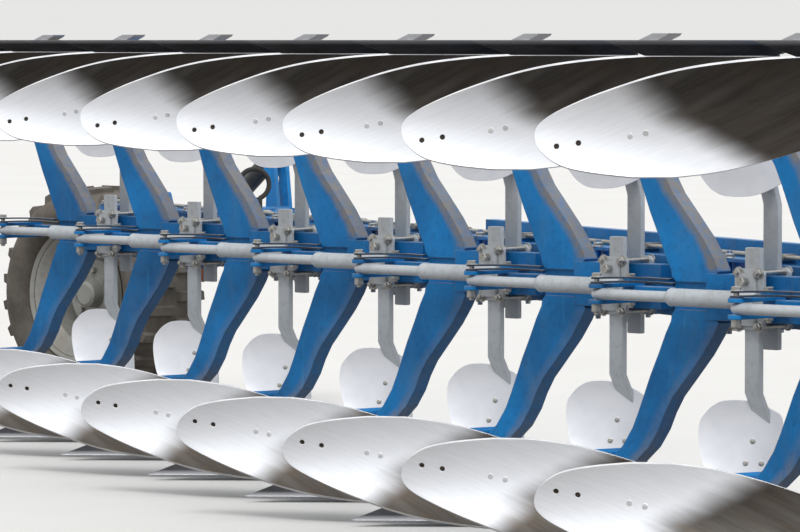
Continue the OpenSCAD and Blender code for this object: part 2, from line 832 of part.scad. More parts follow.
module headstock() {
  y = axis_left;
  cheek = 30;
  color(paint_blue) rig() {
    translate([bearing_x, y, 0])
      rotate([0, 90, 0])
        difference() {
          cylinder(d = bearing_d, h = bearing_len, $fn = 64);
          translate([0, 0, -1]) cylinder(d = axle_d + 2 * run_gap, h = bearing_len + 2, $fn = 64);
        }
    plate_x = head_front + head_gap;
    for (x = [bearing_x + 2 * cheek, head_front - 3 * cheek])
      translate([x, 0, 0])
        difference() {
          block([0, y - head_half, lug_low_z], [cheek, y + head_half, head_top]);
          translate([-1, y, 0]) rotate([0, 90, 0]) cylinder(d = bearing_d - 4, h = cheek + 2, $fn = 64);
        }
    block([bearing_x + 2 * cheek, y - head_half + 10, lug_low_z], [plate_x, y + head_half - 10, lug_low_z + cheek]);
    block([plate_x - 1, y - head_half, lug_low_z], [plate_x + head_plate_t, y + head_half, head_top]);
    block([head_front - 3 * cheek, y - head_half, head_top - cheek], [plate_x + 1, y + head_half, head_top]);
    king_lug(lug_top_z);
    king_lug(lug_low_z - 1);
    translate([kingpin_x, y, lug_low_z - 30])
      cylinder(d = kingpin_d, h = lug_top_z + lug_t + 25 - lug_low_z + 30, $fn = 64);
    for (x = [0, stand_w + 2 * stand_gap + stand_lug_t])
      translate([stand_x - stand_w / 2 - stand_gap - stand_lug_t + x, 0, 0])
        difference() {
          block([0, y + bearing_d / 2 - 20, -stand_lug_h], [stand_lug_t, stand_y + 46, stand_lug_h]);
          translate([-1, stand_y, stand_z])
            rotate([0, 90, 0]) cylinder(d = stand_pin_d + 2 * run_gap, h = stand_lug_t + 2);
        }
  }
}

// Turnover drive: a rack housing that lies across the bearing, with its end caps
drive_d = 130;
drive_len = 860;

module turnover_drive() {
  x = head_front - 310;
  z = bearing_d / 2 + drive_d / 2 + 12;
  y = axis_left;
  color(paint_blue) rig() {
    translate([x, y - drive_len / 2, z]) rotate([-90, 0, 0]) cylinder(d = drive_d, h = drive_len);
    for (side = [-1, 1])
      translate([x, y + side * (drive_len / 2 - 20) - 22, z]) rotate([-90, 0, 0]) cylinder(d = drive_d + 24, h = 44);
    difference() {
      block([x - 90, y - 130, 62], [x + 90, y + 130, z]);
      translate([x - 91, y, 0]) rotate([0, 90, 0]) cylinder(d = bearing_d + 2 * seat, h = 182, $fn = 64);
    }
  }
}

// Hitch: the barrel that swings on the kingpin, and the cross shaft with its link pins
module hitch() {
  y = axis_left;
  barrel_low = lug_low_z + lug_t + 4;
  barrel_top = lug_top_z - 4;
  arm_h = 120;
  color(paint_blue) rig() translate([kingpin_x, y, 0]) {
    difference() {
      union() {
        translate([0, 0, barrel_low]) cylinder(d = king_barrel_d, h = barrel_top - barrel_low, $fn = 64);
        block([0, -100, -cross_drop - arm_h / 2 + 4], [cross_ahead, 100, -cross_drop + arm_h / 2 + 60]);
      }
      translate([0, 0, barrel_low - 1])
        cylinder(d = kingpin_d + 2 * run_gap, h = barrel_top - barrel_low + 2, $fn = 64);
    }
    translate([cross_ahead, 0, -cross_drop]) {
      rotate([90, 0, 0]) cylinder(d = cross_d, h = link_span, center = true);
      for (side = [-1, 1]) {
        translate([0, side * (link_span / 2 - 12), 0])
          rotate([90, 0, 0]) cylinder(d = collar_d, h = 24, center = true);
        difference() {
          translate([0, side * (link_span / 2 - 1), 0])
            rotate([-90 * side, 0, 0]) cylinder(d = link_pin_d, h = link_pin_len + 1);
          translate([0, side * (link_span / 2 + link_pin_len - 26), 0])
            cylinder(d = linch_d, h = 80, center = true);
        }
      }
    }
  }
}

// Stand: a square leg with a round foot, hung on a pin at the headstock's left side
stand_x = head_front - 310;
stand_y = axis_left + 235;
stand_z = 0;
stand_lug_h = 52;
stand_lug_t = 14;
stand_gap = 17;

module stand() {
  foot_t = 16;
  inset = 12;
  color(paint_grey) rig() {
    translate([stand_x, stand_y, stand_z])
      rotate([0, 90, 0]) cylinder(d = stand_w, h = stand_w, center = true);
    block([stand_x - stand_w / 2, stand_y - stand_w / 2, -beam_z + foot_t - 1],
          [stand_x + stand_w / 2, stand_y + stand_w / 2, stand_z]);
    translate([stand_x, stand_y, stand_z])
      rotate([0, 90, 0]) cylinder(d = stand_pin_d, h = stand_w + 2 * stand_gap + 2 * stand_lug_t + 24, center = true);
    translate([stand_x, stand_y - inset, -beam_z]) cylinder(d = stand_foot_d, h = foot_t);
  }
}

// Rear cross member with the bearing in which the wheel carriage swings
trunnion_d = 90;
trunnion_wall = 32;
member_half = 75;
member_h = 150;
trunnion_half = 150;

module wheel_beam() {
  d = beam_offset + beam_w / 2 + seat;
  tube_d = trunnion_d + 2 * trunnion_wall;
  color(paint_blue) at_body(1) {
    difference() {
      union() {
        translate([0, 0, -member_h / 2])
          linear_extrude(height = member_h)
            polygon([
              [-member_half, beam_line_y(-member_half, d)], [-member_half, wheel_left],
              [member_half, wheel_left], [member_half, beam_line_y(member_half, d)]]);
        translate([-trunnion_half, wheel_left, 0])
          rotate([0, 90, 0]) cylinder(d = tube_d, h = 2 * trunnion_half);
      }
      translate([-trunnion_half - 1, wheel_left, 0])
        rotate([0, 90, 0]) cylinder(d = trunnion_d + 2 * run_gap, h = 2 * trunnion_half + 2, $fn = 64);
    }
  }
}

// Wheel carriage: its trunnion, the box that reaches over to the arm's side, and its two lugs
lug_y = arm_y + arm_w / 2;
mast_back = 230;
mast_z = 300;
carriage_x = -trunnion_half - 12;

module arm_frame() {
  at_body(1) translate([0, wheel_left, 0]) children();
}

module carriage() {
  ear_half = arm_w / 2 + 2;
  ear_t = 22;
  pin = [-arm_pivot_back, 0, -arm_pivot_drop];
  color(paint_blue) arm_frame() {
    translate([carriage_x - 20, 0, 0])
      rotate([0, 90, 0]) cylinder(d = trunnion_d, h = 2 * trunnion_half + 24 + 20 + 20, $fn = 64);
    translate([trunnion_half + 6, 0, 0]) rotate([0, 90, 0]) cylinder(d = trunnion_d + 40, h = 24);
    block([carriage_x - 60, -70, -70], [carriage_x, lug_y + ear_half + ear_t, 70]);
    for (side = [-1, 1]) {
      y0 = lug_y + (side > 0 ? ear_half : -ear_half - ear_t);
      difference() {
        side_plate(y0, y0 + ear_t, [
          [carriage_x, 70], [-mast_back + 38, mast_z + 40], [-mast_back - 38, mast_z + 40],
          [-mast_back - 38, mast_z - 25], [-mast_back + 4, mast_z - 100], [-mast_back - 6, 60],
          [pin[0] + 30, pin[2] + 56], [pin[0] - 50, pin[2] + 50], [pin[0] - 50, pin[2] - 50],
          [pin[0] + 40, pin[2] - 50], [carriage_x, -70]]);
        translate([pin[0], y0 - 1, pin[2]])
          rotate([-90, 0, 0]) cylinder(d = arm_pin_d + 2 * run_gap, h = ear_t + 2);
        translate([-mast_back, y0 - 1, mast_z])
          rotate([-90, 0, 0]) cylinder(d = lift_pin_d + 2 * run_gap, h = ear_t + 2);
      }
    }
  }
}

// Wheel arm: a deep plate from the pivot back to the wheel's stub axle
arm_pin_d = 60;
arm_drop = wheel_z + arm_pivot_drop;
arm_run = wheel_back - arm_pivot_back;
arm_lean = atan2(arm_drop, -arm_run);
hub_d = 120;
stub_d = 70;
stub_end = 90;
lift_eye_run = 400;
lift_eye_rise = 92;
lift_mast = [-mast_back, mast_z];
lift_eye = [-arm_pivot_back, -arm_pivot_drop]
  + lift_eye_run * unit([-arm_run, arm_drop]) + lift_eye_rise * unit([arm_drop, arm_run]);
lift_dir = unit(lift_eye - lift_mast);
lift_len = norm(lift_eye - lift_mast);

module wheel_arm() {
  y0 = lug_y - arm_w / 2;
  along = unit([-arm_run, arm_drop]);
  up = unit([arm_drop, arm_run]);
  p = [-arm_pivot_back, -arm_pivot_drop];
  q = [-wheel_back, wheel_z];
  color(paint_blue) arm_frame() {
    difference() {
      union() {
        side_plate(y0, y0 + arm_w, [
          p + 55 * up - 10 * along, p - 55 * up, q - 60 * up, q + 60 * up,
          p + (lift_eye_run + 110) * along + 72 * up, p + (lift_eye_run - 150) * along + 72 * up]);
        for (c = [p, q])
          translate([c[0], y0, c[1]]) rotate([-90, 0, 0]) cylinder(d = 124, h = arm_w);
        for (side = [0, 1])
          translate([lift_eye[0], lug_y + (side == 0 ? -arm_w / 2 : arm_w / 2 - 12), lift_eye[1]])
            rotate([-90, 0, 0]) cylinder(d = 76, h = 12);
      }
      translate([lift_eye[0], y0 + 12, lift_eye[1]])
        rotate([-90, 0, 0]) cylinder(d = 120, h = arm_w - 24);
    }
    translate([p[0], lug_y - 54, p[1]]) rotate([-90, 0, 0]) cylinder(d = arm_pin_d, h = 108);
    translate([q[0], -stub_end, q[1]]) rotate([-90, 0, 0]) cylinder(d = stub_d, h = y0 + stub_end + 1);
    translate([lift_eye[0], y0, lift_eye[1]])
      rotate([-90, 0, 0]) cylinder(d = lift_pin_d, h = arm_w + 14);
  }
}

// Lift cylinder: barrel from the mast, rod down to the arm's eye
lift_eye_w = arm_w - 26;
barrel_x = 96;
barrel_len = 354;
lift_pin_len = arm_w + 60;
piston_x = 216;
rod_flat = 56;
eye_slot = 11;

module lift_frame(start) {
  arm_frame()
    translate([start[0], lug_y, start[1]])
      rotate([0, atan2(lift_dir[0], lift_dir[1]), 0]) children();
}

module lift_barrel() {
  color(dark_steel) lift_frame(lift_mast) {
    difference() {
      union() {
        rotate([90, 0, 0]) cylinder(d = 64, h = arm_w - 2, center = true);
        translate([0, 0, barrel_x]) cylinder(d = lift_bore_d + 14, h = barrel_len);
        translate([-22, -arm_w / 2 + 1, 0]) cube([44, arm_w - 2, barrel_x + 4]);
      }
      translate([0, 0, barrel_x + 20]) cylinder(d = lift_bore_d, h = barrel_len - 50);
      translate([0, 0, barrel_x + 20]) cylinder(d = lift_rod_d + 2 * run_gap, h = barrel_len);
    }
    rotate([90, 0, 0]) cylinder(d = lift_pin_d, h = lift_pin_len, center = true);
  }
}

module lift_rod() {
  color(worn_steel) lift_frame(lift_mast) {
    translate([0, 0, piston_x]) cylinder(d = lift_bore_d - 2, h = 40);
    translate([0, 0, piston_x + 1]) cylinder(d = lift_rod_d, h = lift_len - piston_x - 1 - rod_flat);
    translate([0, 0, lift_len])
      difference() {
        union() {
          rotate([90, 0, 0]) cylinder(d = 64, h = lift_eye_w, center = true);
          translate([-22, -lift_eye_w / 2, -rod_flat - 4]) cube([44, lift_eye_w, rod_flat + 4]);
        }
        for (back = [0, eye_slot])
          translate([0, 0, -back])
            rotate([90, 0, 0]) cylinder(d = lift_pin_d + 5, h = arm_w, center = true);
        translate([-lift_pin_d / 2 - 2.5, -arm_w / 2, -eye_slot])
          cube([lift_pin_d + 5, arm_w, eye_slot]);
      }
  }
}

// Wheel: rim with its dished disc and hub, and the block lugged tyre
rim_w = 340;

module wheel_frame() {
  rig() translate([wheel_x, wheel_y, wheel_z]) rotate([90, 0, 0]) children();
}

module rim() {
  flange_r = rim_d / 2 + 18;
  seat_r = rim_d / 2 - seat;
  disc_z = 40;
  cap_z = disc_z + 60;
  color(rim_beige) wheel_frame() {
    rotate_extrude($fn = 96)
      difference() {
        polygon([
          [seat_r - 60, -rim_w / 2 + 70], [seat_r - 14, -rim_w / 2 + 20], [flange_r, -rim_w / 2 - 8],
          [flange_r, -rim_w / 2], [seat_r, -rim_w / 2 + 8], [seat_r, rim_w / 2 - 8],
          [flange_r, rim_w / 2], [flange_r, rim_w / 2 + 8], [seat_r - 14, rim_w / 2 - 20],
          [seat_r - 60, rim_w / 2 - 70]]);
        polygon([
          [seat_r - 50, -rim_w / 2 + 90], [seat_r - 8, -rim_w / 2 + 40], [seat_r - 8, rim_w / 2 - 40],
          [seat_r - 50, rim_w / 2 - 90]]);
      }
    rotate_extrude($fn = 96)
      polygon([
        [stub_d / 2 + run_gap, disc_z], [150, disc_z], [170, disc_z - 30], [seat_r - 55, disc_z - 60],
        [seat_r - 55, disc_z - 48], [178, disc_z - 18], [158, disc_z + 12], [hub_d / 2, disc_z + 12],
        [hub_d / 2, disc_z + 60], [stub_d / 2 + run_gap, disc_z + 60]]);
    rotate_extrude($fn = 64)
      polygon([
        [stub_d / 2 + run_gap, -60], [hub_d / 2, -60], [hub_d / 2, disc_z + 1],
        [stub_d / 2 + run_gap, disc_z + 1]]);
    rotate_extrude($fn = 64)
      polygon([
        [0, cap_z], [stub_d / 2 + run_gap, cap_z], [stub_d / 2 + run_gap, cap_z - 1], [hub_d / 2, cap_z - 1],
        [hub_d / 2, cap_z + 10], [hub_d / 2 - 14, cap_z + 20], [0, cap_z + 20]]);
    for (i = [0 : 7])
      rotate([0, 0, 45 * i]) translate([110, 0, disc_z + 11]) cylinder(d = 30, h = 22, $fn = 6);
  }
}

module tyre() {
  crown = tyre_r - lug_h;
  bead = rim_d / 2;
  half = tyre_w / 2;
  color(rubber_black) wheel_frame() {
    rotate_extrude($fn = 96)
      polygon([
        [bead, -rim_w / 2 + 9], [bead + 22, -rim_w / 2 + 9], [bead + 44, -half + 30], [bead + 90, -half],
        [crown - 60, -half + 8],
        [crown - 14, -half + 40], [crown, -half + 110], [crown, half - 110], [crown - 14, half - 40],
        [crown - 60, half - 8], [bead + 90, half], [bead + 44, half - 30],
        [bead + 22, rim_w / 2 - 9], [bead, rim_w / 2 - 9]]);
    for (side = [0, 1], i = [0 : lug_count - 1])
      rotate([0, 0, (i + side / 2) * 360 / lug_count])
        mirror([0, 0, side])
          translate([crown - 10, -24, 12]) cube([lug_h + 10, 48, half - 52]);
  }
}

// The row's origin is under the middle of the whole machine, on the floor
front_x = kingpin_x + cross_ahead + collar_d / 2;
back_x = wheel_x - tyre_r;
right_y = min([for (row = board_rows) board_face(row[2], row[0])[1]]);
left_y = wheel_y + lug_y + lift_pin_len / 2;
shift_x = -(front_x + back_x) / 2;
shift_y = -(left_y + right_y) / 2;

for (n = numbers) {
  leg(n);
  boards(n);
  shares(n);
  skimmers(n);
}
strut_rods();
beam();
pipes();
hose_loop();
front_frame();
headstock();
turnover_drive();
hitch();
stand();
wheel_beam();
carriage();
wheel_arm();
lift_barrel();
lift_rod();
rim();
tyre();
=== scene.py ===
# %% [markdown]
# # Dressing a moldboard plough
#
# A reversible plough carries two sets of tools on one beam: while one set turns the soil,
# the other rides upside down above it.
# The solid model gives the forms and the joints.
# This lesson adds what working soil and weather do to such a machine: scoured steel,
# worn paint, bolts, pipes, hoses and a dusty tyre.
# The model is loaded first as a fixed frame, so that each new piece has
# the solid model's own places.

import math

import bmesh
import bpy
from mathutils import Matrix, Vector


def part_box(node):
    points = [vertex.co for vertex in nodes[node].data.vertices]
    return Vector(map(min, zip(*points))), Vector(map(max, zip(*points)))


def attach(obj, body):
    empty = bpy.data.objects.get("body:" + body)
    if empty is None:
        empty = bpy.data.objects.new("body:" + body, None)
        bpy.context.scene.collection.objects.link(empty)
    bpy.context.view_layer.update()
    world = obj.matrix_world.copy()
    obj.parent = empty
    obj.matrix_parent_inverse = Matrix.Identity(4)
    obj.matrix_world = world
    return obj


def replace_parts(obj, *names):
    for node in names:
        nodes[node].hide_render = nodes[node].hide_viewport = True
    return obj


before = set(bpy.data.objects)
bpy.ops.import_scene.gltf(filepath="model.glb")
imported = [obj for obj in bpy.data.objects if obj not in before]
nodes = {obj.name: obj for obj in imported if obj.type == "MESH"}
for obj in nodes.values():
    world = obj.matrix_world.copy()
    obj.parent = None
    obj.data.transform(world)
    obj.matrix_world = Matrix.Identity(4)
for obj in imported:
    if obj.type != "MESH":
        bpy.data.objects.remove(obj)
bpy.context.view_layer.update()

# %% [markdown]
# ## The machine's own measures
#
# Each body stands one metre behind the one before it, measured along the beam,
# and one furrow further left.
# Every body looks the same, so one place per body is enough to set all its pieces.
# Lengths are in metres and heights inside a set are counted away from the middle of the beam.

# %% Places of the bodies
COUNT = 9
PITCH = 1.0
FURROW = 0.4
STEP = math.sqrt(PITCH ** 2 - FURROW ** 2)
BEAM_Z = 0.847
FRONT = Vector((3.388561, -2.067446, BEAM_Z))
BEAM_TURN = -math.asin(FURROW / PITCH)
BEAM_OFFSET = 0.300
BODIES = range(1, COUNT + 1)


def body_place(n):
    """Middle of body n's console, on the line of legs, counted from the rear."""
    return FRONT + Vector(((n - COUNT) * STEP, (COUNT - n) * FURROW, 0))


def beam_place(n, along=0.0, across=0.0, up=0.0):
    """A point beside body n, measured along the beam and square to it."""
    local = Vector((along, BEAM_OFFSET + across, up))
    return body_place(n) + Matrix.Rotation(BEAM_TURN, 3, "Z") @ local


print("first and last body", [[round(v, 2) for v in body_place(n)] for n in (1, COUNT)])

# %% [markdown]
# ## Camera
#
# The photograph was taken with a long lens from ahead and to the right of the plough,
# a little above the upper shares, so the row of bodies looks squeezed together.
# Distance and direction are set first, and the lens then follows from how large the legs look.

# %% Camera
LOOK = Vector((-0.685, 0.7286, 0)).normalized()
LOOK_DOWN = math.radians(2.549)
SENSOR = 36
PICTURE_WIDE = 800
LENS_IN_PIXELS = 5077
LEG_TO_CAMERA = Vector((16.09, -14.95, 0.825))

cam_data = bpy.data.cameras.new("camera")
cam_data.sensor_width = SENSOR
cam_data.lens = LENS_IN_PIXELS * SENSOR / PICTURE_WIDE
cam_data.clip_end = 2000
camera = bpy.data.objects.new("camera", cam_data)
bpy.context.scene.collection.objects.link(camera)
rear_leg = body_place(1) + Vector((-0.09, -0.03, 0))
camera.location = rear_leg + LEG_TO_CAMERA
aim = LOOK * math.cos(LOOK_DOWN) + Vector((0, 0, -math.sin(LOOK_DOWN)))
camera.rotation_euler = aim.to_track_quat("-Z", "Y").to_euler()
bpy.context.scene.camera = camera
bpy.context.scene.view_settings.view_transform = "Standard"
print("camera at", [round(v, 2) for v in camera.location], "lens", round(cam_data.lens, 1))

# %% [markdown]
# ## A small kit for nodes
#
# Light and finishes are trees of nodes, and most of the nodes only do arithmetic on places.
# A class with short names for them keeps each tree as readable as a recipe:
# it adds a node, joins or sets its sockets, and hands back its result.


# %% Nodes and arithmetic
class Recipe:
    """The node tree of a material or a world, with short names for its plain nodes."""

    def __init__(self, owner):
        owner.use_nodes = True
        self.tree = owner.node_tree
        self.tree.nodes.clear()

    def add(self, kind, *inputs, **settings):
        """A new node: inputs are pairs of a socket and its value, or the output it is joined to."""
        node = self.tree.nodes.new("ShaderNode" + kind)
        for key, value in settings.items():
            setattr(node, key, value)
        for key, value in inputs:
            if hasattr(value, "is_output"):
                self.tree.links.new(value, node.inputs[key])
            elif value is not None:
                node.inputs[key].default_value = value
        return node

    def math(self, kind, a, b=0.0):
        """Arithmetic that is kept between 0 and 1."""
        return self.add("Math", (0, a), (1, b), operation=kind, use_clamp=True).outputs[0]

    def raw(self, kind, *values):
        """Unclamped arithmetic on one to three values."""
        return self.add("Math", *enumerate(values), operation=kind).outputs[0]

    def between(self, value, low, high, **settings):
        """0 to 1 as a value runs from low to high."""
        return self.add("MapRange", ("Value", value), ("From Min", low), ("From Max", high),
                        **settings).outputs[0]

    def ramp(self, value, *stops):
        """Maps a value to colours or levels: stops are (place, level or colour)."""
        node = self.add("ValToRGB", (0, value))
        points = node.color_ramp.elements
        while len(points) < len(stops):
            points.new(0.5)
        for point, (place, level) in zip(points, stops):
            point.position = place
            point.color = (*level, 1) if isinstance(level, tuple) else (level, level, level, 1)
        return node.outputs[0]


print("recipe ready")

# %% [markdown]
# ## Studio
#
# Polished boards show what lies around them, and would look flat among even light.
# So the studio's surroundings are bright on top and dim low down,
# while the picture itself sees only a plain pale backdrop.

# %% Backdrop and lights
BACKDROP = (0.80, 0.80, 0.79, 1)
DIM, DIM_ENDS = (0.16, 0.15, 0.14), 0.46
BRIGHT, BRIGHT_FROM = (1.0, 1.0, 1.0), 0.58

world = bpy.data.worlds.new("studio")
bpy.context.scene.world = world
w = Recipe(world)
direction = w.add("TexCoord").outputs["Generated"]
height = w.between(w.add("SeparateXYZ", (0, direction)).outputs["Z"], -1, 1)
light = w.add("Background", ("Color", w.ramp(height, (DIM_ENDS, DIM), (BRIGHT_FROM, BRIGHT))))
backdrop = w.add("Background", ("Color", BACKDROP))
to_camera = w.add("LightPath").outputs["Is Camera Ray"]
choice = w.add("MixShader", (0, to_camera), (1, light.outputs[0]), (2, backdrop.outputs[0]))
w.add("OutputWorld", (0, choice.outputs[0]))


def sun(name, energy, angle, direction):
    """A sun whose disc is some degrees wide: a wide disc gives soft shadows."""
    data = bpy.data.lights.new(name, "SUN")
    data.energy = energy
    data.angle = math.radians(angle)
    lamp = bpy.data.objects.new(name, data)
    lamp.rotation_euler = Vector(direction).to_track_quat("-Z", "Y").to_euler()
    bpy.context.scene.collection.objects.link(lamp)


sun("key", 1.6, 25, (-0.35, 0.55, -0.9))
sun("side", 0.5, 60, (-0.9, 0.1, -0.35))

# %% [markdown]
# ## Layers of a finish
#
# All finishes are built from the same few layers: a base colour that varies slowly,
# fine speckle, and a mask for worn edges.
# The edge mask compares the true face with a slightly rounded one:
# they only differ close to an edge, where paint really wears first.


# %% Colours, wear and relief
class Finish(Recipe):
    """A material under construction, with the layers that all finishes share."""

    def __init__(self, name):
        self.material = bpy.data.materials.new(name)
        super().__init__(self.material)
        self.coords = self.add("TexCoord").outputs["Object"]

    def axes(self):
        split = self.add("SeparateXYZ", (0, self.coords))
        return split.outputs["X"], split.outputs["Y"], split.outputs["Z"]

    def scaled(self, x, y, z):
        """Coordinates stretched along an axis, for grain and streaks."""
        return self.add("Mapping", ("Scale", (x, y, z)), ("Vector", self.coords)).outputs[0]

    def noise(self, scale, detail=4.0, coords=None, rough=0.55, warp=0.0):
        return self.add("TexNoise", ("Scale", scale), ("Detail", detail), ("Roughness", rough),
                        ("Distortion", warp), ("Vector", coords or self.coords)).outputs["Fac"]

    def mix(self, amount, low, high):
        low, high = ((*v, 1) if isinstance(v, tuple) else v for v in (low, high))
        return self.add("Mix", (0, amount), (6, low), (7, high), data_type="RGBA").outputs[2]

    def edges(self, radius, low=0.03, high=0.25):
        """White along edges, from the angle between the true and a rounded face."""
        soft = self.add("Bevel", ("Radius", radius), samples=4).outputs[0]
        true = self.add("NewGeometry").outputs["Normal"]
        same = self.add("VectorMath", (0, soft), (1, true), operation="DOT_PRODUCT")
        gap = self.math("SUBTRACT", 1.0, same.outputs["Value"])
        return self.ramp(gap, (low, 0.0), (high, 1.0)), soft

    def bump(self, height, distance, strength=0.5, normal=None):
        return self.add("Bump", ("Strength", strength), ("Distance", distance),
                        ("Height", height), ("Normal", normal)).outputs[0]

    def finish(self, color, roughness, metallic=0.0, normal=None, **fixed):
        fixed = [(key.replace("_", " "), value) for key, value in fixed.items()]
        shader = self.add("BsdfPrincipled", ("Base Color", color), ("Roughness", roughness),
                          ("Metallic", metallic), ("Normal", normal), *fixed)
        self.add("OutputMaterial", (0, shader.outputs[0]))
        return self.material


print("layers ready")

# %% [markdown]
# ## Paint
#
# The legs, the consoles and the beam have a strong blue coat.
# Soil rubs it off along the front edges, where grey brown steel shows,
# and dust settles in a thin uneven film.
# The rods, stalks and clamps have a light grey coat with darker chips.


# %% A coat of paint
def paint(name, deep, bright, chip, dust, wear=0.006, dusty=0.35, gloss=0.34, extra=None,
          lit=None, shine=0.5):
    """Extra gives one more mask of bare metal, and lit is the colour of fine scratches."""
    f = Finish(name)
    slow = f.noise(2.2, 3.0)
    fine = f.noise(38.0, 6.0, rough=0.7)
    streak = f.noise(9.0, 5.0, f.scaled(1.0, 1.0, 0.25), warp=0.6)
    coat = f.mix(f.ramp(slow, (0.35, 0.0), (0.65, 1.0)), deep, bright)
    coat = f.mix(f.ramp(fine, (0.5, 0.0), (0.75, 0.45)), coat, tuple(v * 0.5 for v in deep))
    if lit:
        scratch = f.noise(46.0, 9.0, f.scaled(1.0, 1.0, 0.07), rough=0.8, warp=0.2)
        coat = f.mix(f.ramp(scratch, (0.58, 0.0), (0.70, 0.55)), coat, lit)
    coat = f.mix(f.ramp(streak, (0.5, 0.0), (0.8, dusty)), coat, dust)
    edge, soft = f.edges(wear)
    broken = f.ramp(f.noise(24.0, 5.0, rough=0.65), (0.36, 0.0), (0.55, 1.0))
    scuffs = f.ramp(f.noise(7.0, 8.0, rough=0.75, warp=0.4), (0.68, 0.0), (0.75, 0.8))
    bare = f.math("MAXIMUM", f.math("MULTIPLY", edge, broken), scuffs)
    if extra:
        bare = f.math("MAXIMUM", bare, extra(f))
    color = f.mix(bare, coat, chip)
    rough = f.ramp(f.noise(14.0, 4.0), (0.3, gloss), (0.7, gloss + 0.22))
    normal = f.bump(fine, 0.0008, 0.35, soft)
    return f.finish(color, rough, 0.0, normal, Coat_Weight=0.12 * shine / 0.5,
                    Coat_Roughness=0.25, Specular_IOR_Level=shine)


print("paint ready")

# %% [markdown]
# ## Rubbed legs
#
# Soil slides along the front edge of a leg, and the bare steel shows best on the raised set.
# The mask follows that edge through a short table, so the band keeps its width all the way.
# A ramp only holds levels from 0 to 1, so places are shifted by half a metre on the way.


# %% Where the legs are rubbed
# Front edge of a leg: height from the beam, how far ahead of the console's middle it is
LEG_FRONT = [
    (0.083, 0.106), (0.125, 0.084), (0.190, 0.038), (0.265, -0.028), (0.330, -0.086),
    (0.385, -0.120), (0.440, -0.146), (0.500, -0.188), (0.555, -0.252), (0.600, -0.345),
    (0.655, -0.385),
]
SHIFT = 0.5


def leg_rub(f):
    """Where soil rubs a leg: a band along its front edge, strongest on the raised set."""
    x, y, z = f.axes()
    body = f.raw("ROUND", f.raw("DIVIDE", f.raw("SUBTRACT", y, FRONT.y), FURROW))
    ahead = f.raw("ADD", f.raw("SUBTRACT", x, FRONT.x), f.raw("MULTIPLY", body, STEP))
    away = f.raw("SUBTRACT", z, BEAM_Z)
    edge = f.ramp(f.raw("ABSOLUTE", away), *[(h, v + SHIFT) for h, v in LEG_FRONT])
    gap = f.raw("SUBTRACT", f.raw("SUBTRACT", edge, SHIFT), ahead)
    tatters = f.noise(6.0, 6.0, f.scaled(1.0, 1.0, 0.3), rough=0.7)
    band = f.ramp(f.raw("MULTIPLY_ADD", tatters, 0.06, gap), (0.050, 1.0), (0.080, 0.0))
    upper = f.ramp(f.raw("ADD", away, SHIFT), (SHIFT - 0.01, 0.25), (SHIFT + 0.01, 0.95))
    low_front = f.ramp(f.raw("ADD", away, 1.0), (0.40, 0.9), (0.62, 0.0))
    speckle = f.ramp(f.noise(30.0, 7.0, rough=0.75), (0.34, 0.40), (0.56, 1.0))
    off_console = f.ramp(f.raw("ABSOLUTE", away), (0.076, 0.0), (0.092, 1.0))
    band = f.math("MULTIPLY", band, off_console)
    reach = f.math("MAXIMUM", upper, low_front)
    return f.math("MULTIPLY", f.math("MULTIPLY", band, reach), speckle)


print("rows in the leg's edge", len(LEG_FRONT))

# %% [markdown]
# ## Colours of the paints
#
# Legs and beam share one blue, but the legs are scoured by soil and the beam gathers dust.
# The rods and clamps are grey, the lift's barrel is nearly black, and the rim is dull with mud.

# %% Blue, grey and dark paint
BLUE = dict(deep=(0.001, 0.108, 0.305), bright=(0.003, 0.205, 0.540), shine=0.28)
leg_blue = paint("leg_paint", **BLUE, chip=(0.215, 0.200, 0.185), dust=(0.09, 0.18, 0.27),
                 dusty=0.35, extra=leg_rub, lit=(0.05, 0.32, 0.60))
blue = paint("blue_paint", **BLUE, chip=(0.15, 0.14, 0.12), dust=(0.10, 0.14, 0.17),
             dusty=0.5, lit=(0.05, 0.28, 0.52))
grey = paint("grey_paint", deep=(0.40, 0.43, 0.46), bright=(0.55, 0.59, 0.62),
             chip=(0.20, 0.17, 0.14), dust=(0.33, 0.30, 0.25), wear=0.004, dusty=0.4, gloss=0.38)
dark = paint("dark_paint", deep=(0.02, 0.022, 0.026), bright=(0.045, 0.048, 0.052),
             chip=(0.2, 0.18, 0.16), dust=(0.18, 0.16, 0.14), wear=0.003, dusty=0.5)
rim_paint = paint("rim_paint", deep=(0.20, 0.20, 0.18), bright=(0.30, 0.30, 0.28),
                  chip=(0.16, 0.12, 0.09), dust=(0.22, 0.19, 0.15), wear=0.004, dusty=0.8,
                  gloss=0.5)
strap_paint = paint("strap_paint", deep=(0.010, 0.028, 0.060), bright=(0.016, 0.050, 0.105),
                    chip=(0.12, 0.11, 0.10), dust=(0.12, 0.11, 0.10), wear=0.002, dusty=0.5)
print("paints", [m.name for m in (leg_blue, blue, grey, dark, rim_paint, strap_paint)])

# %% [markdown]
# ## Scoured steel
#
# The boards are polished by the furrow slice.
# The tail, which works hardest, is bright as a mirror, and towards the share and the shin
# the steel is darker, with long streaks that follow the way the soil slides.
# The bright tail and lower part are a painted reflection of the sky,
# and the dark part is soil stain together with a painted dark reflection.
# Two slanted lines across the board part the painted bright reflection from the dark.


# %% Steel of the mouldboards
SLIDE_BACK, SLIDE_UP = 0.90, 0.43


